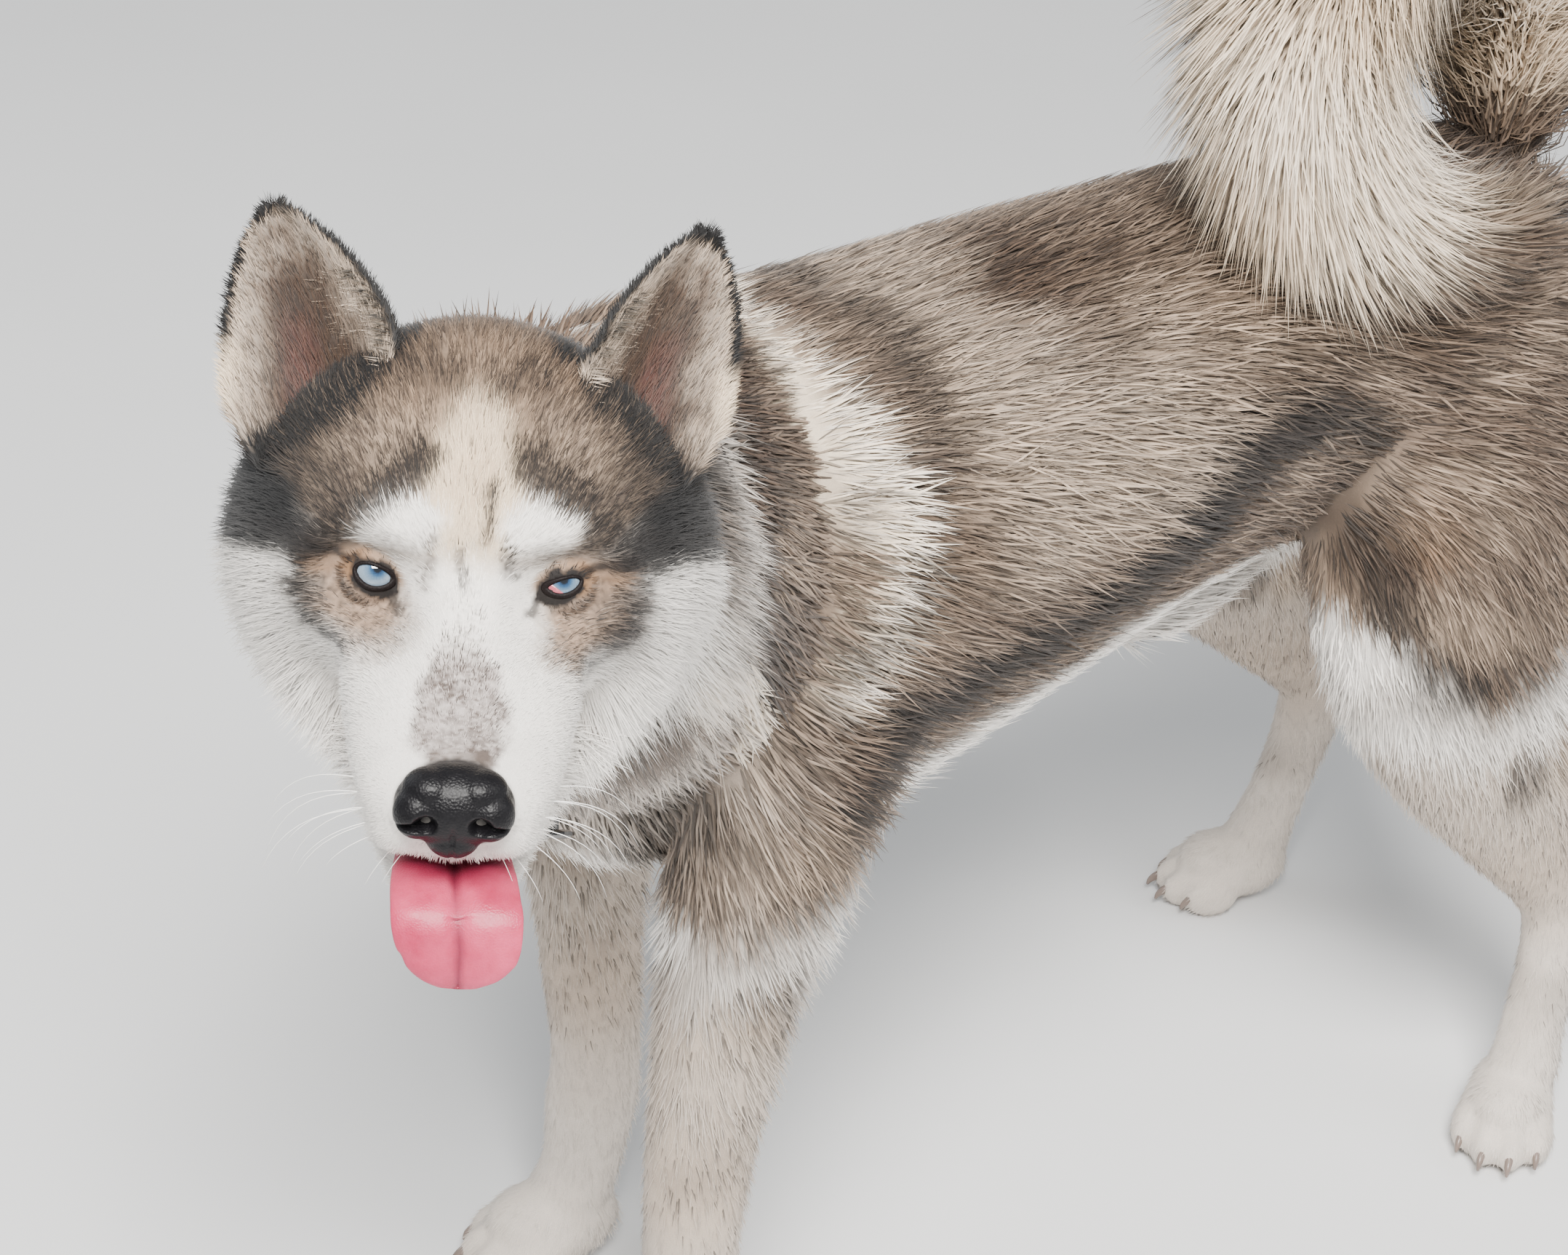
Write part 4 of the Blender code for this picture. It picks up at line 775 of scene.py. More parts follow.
class Paint:
    # the two colours of the coat at each point, laid over each other in turn
    def __init__(self, count, root, tip):
        self.root = np.tile(colours[root], (count, 1))
        self.tip = np.tile(colours[tip], (count, 1))

    def over(self, root, tip, weight):
        weight = np.clip(weight, 0, 1)[:, None]
        self.root += (colours[root] - self.root) * weight
        self.tip += (colours[tip] - self.tip) * weight


# colour, tip colour, course in y and z (m), half width, strength, softness
bodyBands = [
    ("beige", "paleGrey", ((-0.093, 0.530), (-0.080, 0.480), (-0.012, 0.488)), 0.030, 0.55, 1.6),
    ("beige", "grey", ((0.00, 0.52), (0.10, 0.53)), 0.022, 0.40, 1.5),
    ("brown", "dark", ((-0.10, 0.565), (0.02, 0.555)), 0.012, 0.35, 1.5),
    ("paleGrey", "white", ((-0.254, 0.560), (-0.266, 0.548), (-0.272, 0.508)), 0.011, 0.75, 1.2),
    ("brown", "dark", ((-0.216, 0.560), (-0.240, 0.535), (-0.255, 0.515), (-0.256, 0.485),
                       (-0.229, 0.450)), 0.012, 0.85, 1.0),
    ("cream", "white", ((-0.178, 0.557), (-0.170, 0.526), (-0.168, 0.482),
                        (-0.174, 0.455), (-0.193, 0.430)), 0.012, 0.85, 1.0),
    ("cream", "white", ((-0.295, 0.524), (-0.274, 0.487), (-0.240, 0.440),
                        (-0.231, 0.424)), 0.009, 0.85, 0.9),
    ("dark", "black", ((-0.121, 0.545), (-0.138, 0.514), (-0.150, 0.483), (-0.170, 0.455),
                       (-0.188, 0.444)), 0.007, 0.65, 1.3),
    ("brown", "dark", ((-0.208, 0.43), (-0.196, 0.40)), 0.010, 0.50, 1.3),
    ("dark", "black", ((-0.185, 0.372), (-0.160, 0.398), (-0.093, 0.409), (-0.042, 0.423),
                       (0.020, 0.440)), 0.011, 0.90, 1.4),
    ("dark", "black", ((-0.165, 0.388), (-0.158, 0.420)), 0.010, 0.60, 1.3),
    ("dark", "black", ((0.012, 0.452), (0.036, 0.469), (0.078, 0.478)), 0.015, 0.92, 1.2),
    ("dark", "black", ((0.100, 0.470), (0.128, 0.395), (0.134, 0.345),
                       (0.160, 0.320)), 0.010, 0.75, 1.2),
]


def paintHead(points, paint, weight):
    local = inHead(points) * 1000
    wobble = 2.2 * grain(points, 0.008, 3.0) + 1.3 * grain(points, 0.0026, 9.0)
    x, y, z = local[:, 0] + wobble, local[:, 1], local[:, 2] + 0.8 * wobble
    a = np.abs(x)
    fleck = rng.random(len(points))
    paint.over("white", "white", weight)
    # crown and forehead carry ticked fur, cheeks and muzzle stay white
    crown = soft(z - 0.50 * (a - 40).clip(0), 3, 13) * soft(y, -22, 4)
    ticking = 0.60 + 0.40 * grain(points * (1.0, 1.0, 0.6), 0.0045, 6.0) - 0.5 * (fleck > 0.62)
    paint.over("beige", "brown", weight * crown)
    paint.over("tan", "brown", weight * crown * soft(z, 40, 58) * (1 - soft(a, 30, 48)) * 0.35)
    ticking = np.clip(ticking + 0.15, 0, 1) * (0.72 + 0.28 * soft(a, 18, 44))
    paint.over("grey", "dark", weight * crown * ticking)
    nape = soft(y, 66, 96) * soft(z, -16, 14)
    paint.over("grey", "brown", weight * nape * 0.8)
    for root, tip, centre, radii, depth, strength, edge in headBlobs:
        away = np.hypot((x - centre[0]) / radii[0], (z - centre[1]) / radii[1])
        inDepth = soft(y, depth[0] - 6, depth[0]) * (1 - soft(y, depth[1], depth[1] + 10))
        paint.over(root, tip, weight * inDepth * strength * (1 - soft(away, 1 - edge, 1 + edge)))
    for root, tip, course, half, depth, strength, edge in headBands:
        near = 1 - soft(alongCourse(x, z, course), half * (1 - 0.6 * edge), half * (1 + edge))
        inDepth = soft(y, depth[0] - 6, depth[0]) * (1 - soft(y, depth[1], depth[1] + 10))
        feather = np.where(half < 2.1, 1.0 - 0.80 * (fleck > 0.70), 1.0 - 0.45 * (fleck > 0.80))
        paint.over(root, tip, weight * near * strength * inDepth * feather)
    # tan lids, then the dark rims and corner lines
    frontal = weight * (1 - soft(y, 25, 40))
    under = np.maximum(1 - soft(np.hypot((x + 36) / 19, (z + 10) / 12), 0.8, 1.2),
                       1 - soft(np.hypot((x - 42) / 18, (z + 13) / 13), 0.8, 1.2))
    paint.over("dark", "black", frontal * under * 0.8 * (fleck < 0.26 + 0.012 * (a - 30).clip(0, 30)))
    for side in (1, -1):
        out, up, ahead = eyeShares(local / 1000, side)
        half, high, low = head["opening"][side]
        away = np.hypot(out * half, up * np.where(up > 0, high, low) * 1.25) * 1000 + 0.5 * wobble
        paint.over("tan", "brown", frontal * 0.85 * (1 - soft(away, 9.0, 14.0)) * soft(z + 3, -3, 3))
        reach = away - 1.5 * (out < -0.3) - 1.2 * (up < -0.5)
        paint.over("dark", "black", frontal * (1 - soft(reach, 6.2, 8.2)))
        corner = ((24.5 * side, -5), (22.5 * side, -9))
        paint.over("dark", "black", frontal * 0.80 * (1 - soft(alongCourse(x, z, corner), 1.0, 3.0)))
        corner = ((39 * side, 4), (46 * side, 6), (54 * side, 5))
        paint.over("dark", "black", frontal * 0.85 * (1 - soft(alongCourse(x, z, corner), 1.0, 3.0)))
    # speckled bridge of the muzzle, densest next to the nose
    breadth = np.interp(-y, [5, 22, 38, 52, 74, 90], [7, 7, 9, 15, 16, 11])
    bridge = (1 - soft(a, breadth * 0.75, breadth * 1.15)) * soft(-y, -4, 34) * soft(z, -44, -32)
    speckle = 0.5 + 0.35 * grain(points, 0.0024, 5.0) + 0.25 * grain(points, 0.0070, 8.0)
    strong = np.interp(-y, [-4, 22, 34, 44, 86], [0.12, 0.24, 0.50, 0.85, 1.05])
    paint.over("mauve", "mauve", weight * bridge * 0.60 * soft(-y, 28, 46))
    paint.over("brown", "dark", weight * bridge * 0.85 * (fleck < speckle * strong))
    paint.over("grey", "dark", weight * bridge * soft(-y, 78, 90) * 0.40)
    # the skin under the nose leather is painted black, the leather's own colour at its edge and painted shade
    # where it shows deep in the nostrils; then the dark line of the lips
    leather = np.sqrt((local[:, 0] / 19.0) ** 2 + ((y + 95) / 17.0) ** 2 + ((local[:, 2] + 43) / 14.5) ** 2)
    paint.over("black", "black", weight * (1 - soft(leather, 0.95, 1.08)))
    lips = (1 - soft(np.abs(z + 68.0), 1.0, 3.4)) * soft(-y, 20, 40) * (1 - soft(-y, 96, 108))
    paint.over("dark", "black", weight * lips * 0.6)


def paintBody(points, paint):
    local = points - np.array(shift)
    warp = 0.011 * grain(points, 0.034, 1.0) + 0.005 * grain(points, 0.013, 4.0)
    x, y, z = local[:, 0], local[:, 1] + warp, local[:, 2] + 0.7 * warp
    mottle = grain(points * (1.0, 0.7, 1.3), 0.017, 7.0)
    paint.over("grey", "brown", 0.32 + 0.50 * soft(mottle, -0.5, 0.6))
    paint.over("brown", "dark", 0.40 * soft(grain(points * (1.0, 0.6, 1.4), 0.026, 5.0), 0.10, 0.75))
    paint.over("tan", "brown", 0.30 * soft(grain(points, 0.05, 2.0), 0.0, 0.8))
    paint.over("brown", "dark", 0.80 * soft(z, 0.495, 0.550) * soft(y, -0.17, -0.12))
    for root, tip, course, half, strength, edge in bodyBands:
        near = 1 - soft(alongCourse(y, z, course), half * (1 - 0.5 * min(edge, 1.0)), half * (1 + 0.6 * edge))
        paint.over(root, tip, near * strength)
    # pale belly, chest and legs
    under = np.interp(y, [-0.24, -0.19, -0.11, -0.01, 0.08, 0.15], [0.35, 0.345, 0.376, 0.398, 0.392, 0.34])
    outside = soft(np.abs(x), 0.046, 0.064) * (1 - soft(y, -0.19, -0.15))
    paint.over("white", "white", soft(under - z, 0.0, 0.016) * (1 - soft(y, 0.11, 0.16)) * (1 - outside))
    paint.over("white", "white", soft(np.interp(y, [0.10, 0.18, 0.30], [0.34, 0.315, 0.36]) - z, 0.0, 0.035))
    inner = soft(0.055 - np.abs(x), 0.0, 0.02) * soft(0.40 - z, 0.0, 0.04)
    paint.over("white", "white", inner)
    seat = soft(y, 0.285, 0.315) * (1 - soft(z, 0.47, 0.52))
    paint.over("cream", "white", seat * 0.85)
    breast = soft(-0.238 - y, 0.0, 0.03) * (1 - soft(z, 0.40, 0.50))
    paint.over("paleGrey", "white", breast * 0.85)
    shoulderward = soft(-0.195 - y, 0.0, 0.03) * (1 - soft(z, 0.40, 0.44)) * soft(z, 0.24, 0.28)
    paint.over("paleGrey", "grey", shoulderward * (0.45 + 0.3 * soft(mottle, -0.4, 0.5)))
    streak = alongCourse(y, z, ((-0.262, 0.405), (-0.250, 0.385), (-0.246, 0.352)))
    paint.over("dark", "black", 0.55 * (1 - soft(streak, 0.006, 0.020)))
    paint.over("white", "white", 1 - soft(np.hypot(y + 0.264, (z - 0.325) * 0.9), 0.018, 0.030))
    elbow = 1 - soft(np.hypot(y + 0.215, z - 0.272), 0.012, 0.036)
    paint.over("grey", "brown", 0.6 * elbow * soft(z, 0.235, 0.26))
    lower = soft(0.262 - z, 0.0, 0.085)
    paint.over("white", "white", lower * 0.82)
    paint.over("beige", "paleGrey", soft(0.30 - z, 0.0, 0.04) * soft(z, 0.08, 0.18) * 0.75)
    paint.over("beige", "paleGrey", soft(0.24 - z, 0.0, 0.06) * 0.45)
    shade = lower * soft(grain(points, 0.03, 6.0), -0.10, 0.6) * 0.4 * soft(z, 0.03, 0.09)
    paint.over("grey", "paleGrey", shade)
    paint.over("dark", "brown", 0.6 * (1 - soft(np.hypot(y - 0.215, z - 0.262), 0.008, 0.022)) * (y > 0))
    paint.over("tan", "cream", 0.5 * (1 - soft(np.hypot(y - 0.255, z - 0.255), 0.012, 0.035)) * (y > 0))


tailCentres = np.array([tuple(toPart @ tailPoint(k / 60)) for k in range(61)])


def paintTail(points, paint, weight):
    paint.over("beige", "cream", weight)
    paler = soft(grain(points, 0.045, 8.0), -0.3, 0.5)
    paint.over("cream", "white", weight * paler * 0.55)
    centre = np.array(toPart @ Vector(tail["centre"]))
    ring = np.hypot(points[:, 1] - centre[1], points[:, 2] - centre[2])
    # the inner side of the curl is painted dark brown: painted shade inside the curl
    inside = 1 - soft(ring, tail["ring"] - 0.040, tail["ring"] - 0.026)
    paint.over("brown", "dark", weight * inside * 0.9)


def paintCoat(points):
    paint = Paint(len(points), "beige", "grey")
    paintBody(points, paint)
    local = inHead(points)
    edge = 0.006 * grain(points, 0.02, 3.0) + 0.003 * grain(points, 0.006, 5.0)
    away = np.linalg.norm(local - (0, 0.01, -0.02), axis=1) - 0.030 * soft(local[:, 1], 0, 0.1)
    headward = 1 - soft(away, 0.108, 0.135)
    headward *= 1 - soft(local[:, 1] + edge, 0.074, 0.088) * (1 - soft(local[:, 2], 0.0, 0.03))
    paintHead(points, paint, headward)
    nearest = np.full(len(points), 1e9)
    for centre in tailCentres[4:]:
        nearest = np.minimum(nearest, np.linalg.norm(points - centre, axis=1))
    tailward = (1 - soft(nearest, 0.040, 0.062)) * soft(points[:, 2], 0.535, 0.575)
    paintTail(points, paint, tailward)
    paint.root *= (1 + 0.07 * grain(points, 0.006, 12.0))[:, None]
    return paint.root, paint.tip


def colourMesh(piece, rgb):
    attribute = piece.data.attributes.new("coat", "FLOAT_COLOR", "POINT")
    values = np.ones((len(rgb), 4))
    values[:, :3] = rgb
    attribute.data.foreach_set("color", values.astype(np.float32).ravel())


# Materials

def newMaterial(name, base, roughness, specular=0.5):
    material = bpy.data.materials.new(name)
    material.use_nodes = True
    shader = material.node_tree.nodes["Principled BSDF"]
    shader.inputs["Base Color"].default_value = (*base, 1.0)
    shader.inputs["Roughness"].default_value = roughness
    shader.inputs["Specular IOR Level"].default_value = specular
    return material, material.node_tree.nodes, material.node_tree.links, shader


def addNode(nodes, kind, values=None, **settings):
    node = nodes.new(kind)
    for key, value in settings.items():
        setattr(node, key, value)
    for key, value in (values or {}).items():
        node.inputs[key].default_value = value
    return node


def furMaterial(name, roughness=0.62, variation=0.16, fine=900.0):
    material, nodes, links, shader = newMaterial(name, (0.5, 0.5, 0.5), roughness, 0.30)
    colour = addNode(nodes, "ShaderNodeAttribute", attribute_name="coat")
    place = addNode(nodes, "ShaderNodeTexCoord")
    noise = addNode(nodes, "ShaderNodeTexNoise", {"Scale": fine, "Detail": 3.0, "Roughness": 0.6})
    spread = addNode(nodes, "ShaderNodeMapRange", {"To Min": 1 - variation, "To Max": 1 + variation})
    tint = addNode(nodes, "ShaderNodeVectorMath", operation="SCALE")
    bump = addNode(nodes, "ShaderNodeBump", {"Strength": 0.25, "Distance": 0.0004})
    links.new(place.outputs["Object"], noise.inputs["Vector"])
    links.new(noise.outputs["Fac"], spread.inputs["Value"])
    links.new(colour.outputs["Color"], tint.inputs[0])
    links.new(spread.outputs["Result"], tint.inputs["Scale"])
    links.new(tint.outputs["Vector"], shader.inputs["Base Color"])
    links.new(noise.outputs["Fac"], bump.inputs["Height"])
    links.new(bump.outputs["Normal"], shader.inputs["Normal"])
    shader.inputs["Sheen Weight"].default_value = 0.12
    return material


furLook = furMaterial("fur")
skinLook = furMaterial("short coat", 0.75, 0.22, 1400.0)

skinPoints = meshPoints(skin)
# flecks are averaged out on the skin
skinRoot, skinTip = np.mean([paintCoat(skinPoints) for _ in range(4)], axis=0)
# the skin takes less than the coat's full colour: painted shade in the depth of the coat
colourMesh(skin, skinRoot * 0.62 + skinTip * 0.18)
fleshNodes = ["torso", "loin", "neck", "head", "lower_jaw", "tail_base", "tail_middle", "tail_tip"]
for part in ("thigh", "hindleg", "foreleg", "forepaw", "hindpaw"):
    fleshNodes += [part + "_left", part + "_right"]
dress(skin, skinLook, "coat_grey", *fleshNodes)


# The coat: every tuft is a closed tapered form rooted in the skin

tuft = {
    "length": (0.72, 1.18),      # least and most, as shares of the guides'
    "width": (0.75, 1.25),
    "lift": (0.65, 1.35),
    "sway": 0.16,                # radians to either side of the lie
    "depth": 0.0005,             # of the root under the skin
    "dark": 0.42,                # ticked tufts are darker and the rest a little lighter
    "light": 1.12,
    "patch": 0.003,              # each tuft's share of the bake map
    "rings": {                   # places along the tuft and their breadth, by the number of rings
        1: ((0.0, 1.0), (1.0, 0.0)),
        2: ((0.0, 0.45, 1.0), (0.85, 1.0, 0.0)),
    },
    "shading": (0.62, 0.42, 0.35),   # shares of the skin's normal, of the tuft's side and of its top
}


def growTufts(name, roots, normals, lies, sizes, colour, bend, uv, rings, slotName="coat_grey"):
    rootColour, tipColour = colour
    count = len(roots)
    length = sizes[:, 0] * rng.uniform(*tuft["length"], count)
    width = sizes[:, 1] * rng.uniform(*tuft["width"], count)
    lift = np.radians(sizes[:, 2] * rng.uniform(*tuft["lift"], count))
    flat = lies - normals * np.sum(lies * normals, axis=1)[:, None]
    flat /= np.linalg.norm(flat, axis=1)[:, None] + 1e-9
    side = np.cross(normals, flat)
    sway = rng.normal(0, tuft["sway"], count)[:, None]
    flat = flat * np.cos(sway) + side * np.sin(sway)
    side = np.cross(normals, flat)
    shares, breadth = tuft["rings"][rings]
    points = []
    shades = []
    shading = []
    flatShare, sideShare, topShare = tuft["shading"]
    place = roots - normals * (tuft["depth"] + 0.018 * length)[:, None] - flat * (0.02 * length)[:, None]
    before = 0.0
    light = rootColour.mean(axis=1)
    spread = np.interp(light, [0.04, 0.20, 0.55], [0.30, 0.28, 0.07])
    dark = 1.0 + spread * rng.uniform(-1.0, 0.9, count)
    ticked = rng.random(count) < np.interp(light, [0.02, 0.06, 0.30, 0.55], [0.0, 0.38, 0.30, 0.0])
    dark = np.where(ticked, dark * tuft["dark"], dark * tuft["light"])
    reach = rng.uniform(0.55, 1.0, count)
    for share, wide in zip(shares, breadth):
        angle = lift * (1 - bend * max(0.0, share - 0.30) / 0.70)
        heading = flat * np.cos(angle)[:, None] + normals * np.sin(angle)[:, None]
        place = place + heading * (length * (share - before))[:, None]
        before = share
        over = normals * np.cos(angle)[:, None] - flat * np.sin(angle)[:, None]
        blend = (np.clip((share - 0.15) / 0.75, 0, 1) * reach)[:, None]
        shade = rootColour * (1 - blend) + tipColour * blend
        # each tuft is painted darker towards its root: painted shade deep in the coat; dark adds each tuft's own
        # random tone
        shade = shade * (dark * (0.55 + 0.45 * min(1.0, share * 2.2)))[:, None]
        if wide == 0.0:
            points.append(place)
            shades.append(shade)
            shading.append(normals)
            continue
        half = (width * wide / 2)[:, None]
        for across, height in ((-1.0, -0.25), (1.0, -0.25), (0.0, 0.55)):
            points.append(place + side * half * across + over * half * height)
            shades.append(shade)
            shading.append(normals * flatShare + side * across * sideShare + over * height * topShare)
    per = len(points)
    points = np.stack(points, axis=1).reshape(-1, 3)
    points[:, 2] = np.maximum(points[:, 2], 0.0004)
    shades = np.stack(shades, axis=1).reshape(-1, 3)
    shading = np.stack(shading, axis=1).reshape(-1, 3)
    shading /= np.linalg.norm(shading, axis=1)[:, None] + 1e-9
    faces = [(2, 1, 0)]
    for ring in range(rings - 1):
        a = ring * 3
        for n in range(3):
            m = (n + 1) % 3
            faces += [(a + n, a + m, a + 3 + m), (a + n, a + 3 + m, a + 3 + n)]
    a = (rings - 1) * 3
    faces += [(a + n, a + (n + 1) % 3, per - 1) for n in range(3)]
    faces = np.array(faces)
    index = (faces[None] + (np.arange(count) * per)[:, None, None]).reshape(-1)
    mesh = bpy.data.meshes.new(name)
    mesh.vertices.add(count * per)
    mesh.vertices.foreach_set("co", points.astype(np.float32).ravel())
    loops = len(index)
    mesh.loops.add(loops)
    mesh.loops.foreach_set("vertex_index", index.astype(np.int32))
    mesh.polygons.add(loops // 3)
    mesh.polygons.foreach_set("loop_start", np.arange(0, loops, 3, dtype=np.int32))
    mesh.update(calc_edges=True)
    patch = []
    for share, wide in zip(shares, breadth):
        patch += [(-0.5, share), (0.5, share), (0.0, share)] if wide else [(0.0, 1.0)]
    patch = np.array(patch) * tuft["patch"]
    corner = (uv[:, None, :] + patch[None]).reshape(-1, 2)[index]
    layer = mesh.uv_layers.new(name="OFBake")
    layer.data.foreach_set("uv", corner.astype(np.float32).ravel())
    mesh.shade_smooth()
    mesh.normals_split_custom_set_from_vertices(shading)      # tufts are shaded like the coat they make up
    piece = bpy.data.objects.new(name, mesh)
    bpy.context.scene.collection.objects.link(piece)
    colourMesh(piece, shades)
    dress(piece, furLook, slotName)
    return piece


def scatter(points, triangles, normals, density, count):
    a, b, c = points[triangles[:, 0]], points[triangles[:, 1]], points[triangles[:, 2]]
    area = np.linalg.norm(np.cross(b - a, c - a), axis=1) / 2
    chance = area * density
    chance /= chance.sum()
    which = rng.choice(len(triangles), count, p=chance)
    u, v = rng.random(count), rng.random(count)
    flip = u + v > 1
    u[flip], v[flip] = 1 - u[flip], 1 - v[flip]
    w = 1 - u - v
    corners = triangles[which]
    shares = ((0, w[:, None]), (1, u[:, None]), (2, v[:, None]))
    found = sum(points[corners[:, n]] * share for n, share in shares)
    facing = sum(normals[corners[:, n]] * share for n, share in shares)
    facing /= np.linalg.norm(facing, axis=1)[:, None]
    return found, facing


def trianglesOf(piece):
    piece.data.calc_loop_triangles()
    corners = np.zeros(len(piece.data.loop_triangles) * 3, dtype=np.int32)
    piece.data.loop_triangles.foreach_get("vertices", corners)
    normals = np.zeros(len(piece.data.vertices) * 3)
    piece.data.vertices.foreach_get("normal", normals)
    return corners.reshape(-1, 3), normals.reshape(-1, 3)


def regionOf(points):
    body = points - np.array(shift)
    local = inHead(points)
    region = np.full(len(points), "body", dtype=object)
    region[body[:, 1] < -0.235] = "neck"
    region[(body[:, 1] < -0.14) & (body[:, 2] > 0.40) & (body[:, 1] < -0.20)] = "neck"
    region[(body[:, 2] < 0.33) & (np.abs(body[:, 0]) > 0.03)] = "legs"
    region[body[:, 2] < 0.05] = "paws"
    skull = np.linalg.norm(local - (0, 0.02, -0.02), axis=1)
    region[(skull < 0.135) & (local[:, 1] < 0.108)] = "head"
    region[(local[:, 1] < -0.015) & (skull < 0.15)] = "muzzle"
    nearest = np.full(len(points), 1e9)
    for centre in tailCentres[3:]:
        nearest = np.minimum(nearest, np.linalg.norm(points - centre, axis=1))
    region[(nearest < 0.036) & (body[:, 2] > 0.535)] = "tail"
    return region


coats = {  # layers of count, rings, bend and the shares of the guides' length, width and lift
    "body": [(21000, 2, 0.80, 1.00, 0.62, 0.95), (55000, 1, 0.0, 0.80, 0.55, 0.55)],
    "neck": [(14000, 2, 0.70, 1.00, 0.75, 1.0), (22000, 1, 0.0, 0.75, 0.66, 0.6)],
    "tail": [(14000, 2, 0.45, 1.00, 0.75, 1.0), (15000, 1, 0.0, 0.72, 0.70, 0.75)],
    "legs": [(30000, 1, 0.0, 1.0, 1.0, 1.0)],
    "paws": [(10000, 1, 0.0, 1.0, 1.0, 1.0)],
    "head": [(60000, 1, 0.0, 1.0, 0.85, 1.0)],
    "muzzle": [(28000, 1, 0.0, 1.0, 0.90, 1.0)],
}


def bakePlace(points, region):
    body = points - np.array(shift)
    if region in ("head", "muzzle"):
        local = inHead(points)
        u = np.arctan2(local[:, 0], local[:, 2] + 0.02) / (2 * math.pi) + 0.5
        v = (local[:, 1] + 0.12) / 0.26
    elif region == "tail":
        u = np.arctan2(body[:, 1] - 0.168, body[:, 2] - 0.606) / (2 * math.pi) + 0.5
        v = (body[:, 0] + 0.06) / 0.26
    elif region in ("legs", "paws"):
        column = (body[:, 0] > 0) * 0.25 + (body[:, 1] > 0) * 0.5
        middle = np.where(body[:, 1] > 0, 0.25, -0.22)
        u = column + 0.25 * (np.arctan2(np.abs(body[:, 0]) - 0.09, body[:, 1] - middle) / (2 * math.pi) + 0.5)
        v = body[:, 2] / 0.36
    else:
        u = np.arctan2(body[:, 0], body[:, 2] - 0.43) / (2 * math.pi) + 0.5
        v = (body[:, 1] + 0.45) / 0.85
    return np.clip(np.stack([u, v], axis=1), 0.004, 0.993)


skinTriangles, skinNormals = trianglesOf(skin)
triangleMiddles = skinPoints[skinTriangles].mean(axis=1)
triangleRegions = regionOf(triangleMiddles)
localMiddles = inHead(triangleMiddles)


def bare(local):
    keep = np.ones(len(local))
    nose = ((local - np.array((0, -0.0965, -0.0418))) / (0.0205, 0.0150, 0.0150)) ** 2
    keep[nose.sum(axis=1) < 1] = 0
    for side in (1, -1):
        out, up, ahead = eyeShares(local, side)
        keep[(np.hypot(out, up) < 1.32) & (np.abs(ahead) < 0.016)] = 0
    tag = (np.array(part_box("collar_tag")[0]) + np.array(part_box("collar_tag")[1])) / 2
    keep[np.linalg.norm(local - inHead(tag), axis=1) < 0.027] = 0
    mouth = (local[:, 2] < -0.066) & (local[:, 2] > -0.080)
    mouth &= (local[:, 1] < 0.0) & (np.abs(local[:, 0]) < 0.022)
    keep[mouth] = 0
    return keep


def clearEyes(points, lies, sizes):
    # the fur beside the lids turns away from them and is shortest at their edge
    local = inHead(points)
    turn = np.array(headToPart.to_3x3())
    for side in (1, -1):
        out, up, ahead = eyeShares(local, side)
        half, high, low = head["opening"][side]
        away = np.hypot(out * half, up * np.where(up > 0, high, low))
        near = (1 - soft(away, 0.004, 0.010)) * (np.abs(ahead) < 0.016)
        outward = np.stack([out * half * side, 0.25 * away, up * np.where(up > 0, high, low) * 0.9], axis=1)
        outward = outward / (np.linalg.norm(outward, axis=1)[:, None] + 1e-9) @ turn.T
        lies = lies * (1 - 0.75 * near)[:, None] + outward * (0.75 * near)[:, None]
        sizes = sizes * np.stack([1 - 0.45 * near, 1 - 0.25 * near, 1 + 0.2 * near], axis=1)
    return lies, sizes


def growRegion(region):
    density = (triangleRegions == region) * bare(localMiddles)
    for layer, (count, rings, bend, longer, wider, steeper) in enumerate(coats[region]):
        roots, normals = scatter(skinPoints, skinTriangles, skinNormals, density, count)
        lies, sizes = combed(roots)
        sizes = sizes * (longer, wider, steeper)
        lies, sizes = clearEyes(roots, lies, sizes)
        rootColour, tipColour = paintCoat(roots)
        uv = bakePlace(roots, region)
        parts = -(-count * (6 * rings - 2) // 190000)      # no piece comes near 200,000 triangles
        for n in range(parts):
            use = slice(n, None, parts)
            growTufts("coat_%s_%d_%d" % (region, layer + 1, n + 1), roots[use], normals[use], lies[use],
                      sizes[use], (rootColour[use], tipColour[use]), bend, uv[use], rings)
        print("coat", region, count, "tufts")


for region in coats:
    growRegion(region)


# Ears: a cupped leaf each, open to the front

ear = {
    "base": (0.0560, 0.056, 0.040),
    "tip": (0.0745, 0.080, 0.1070),
    "across": (0.78, 0.05, -0.62),
    "wideAt": (-0.3, 0.0, 0.3, 1.0),
    "wide": {                                 # shares of the width there, of the inner and the outer half
        1: ((1.0, 1.0, 0.80, 0.82), (1.20, 1.0, 0.80, 0.94)),
        -1: ((1.14, 1.14, 1.12, 1.05), (1.25, 1.03, 0.85, 0.92)),
    },
    "lean": {1: 0.0035, -1: 0.0},
    "halfWidth": 0.0325,
    "cup": 0.020,
    "thickness": 0.0026,
    "grid": (30, 36),
    "tufts": 12000,
    "innerHairs": 450,
    "innerHair": (0.0090, 0.00042, 20.0),     # length, width and standing angle
}


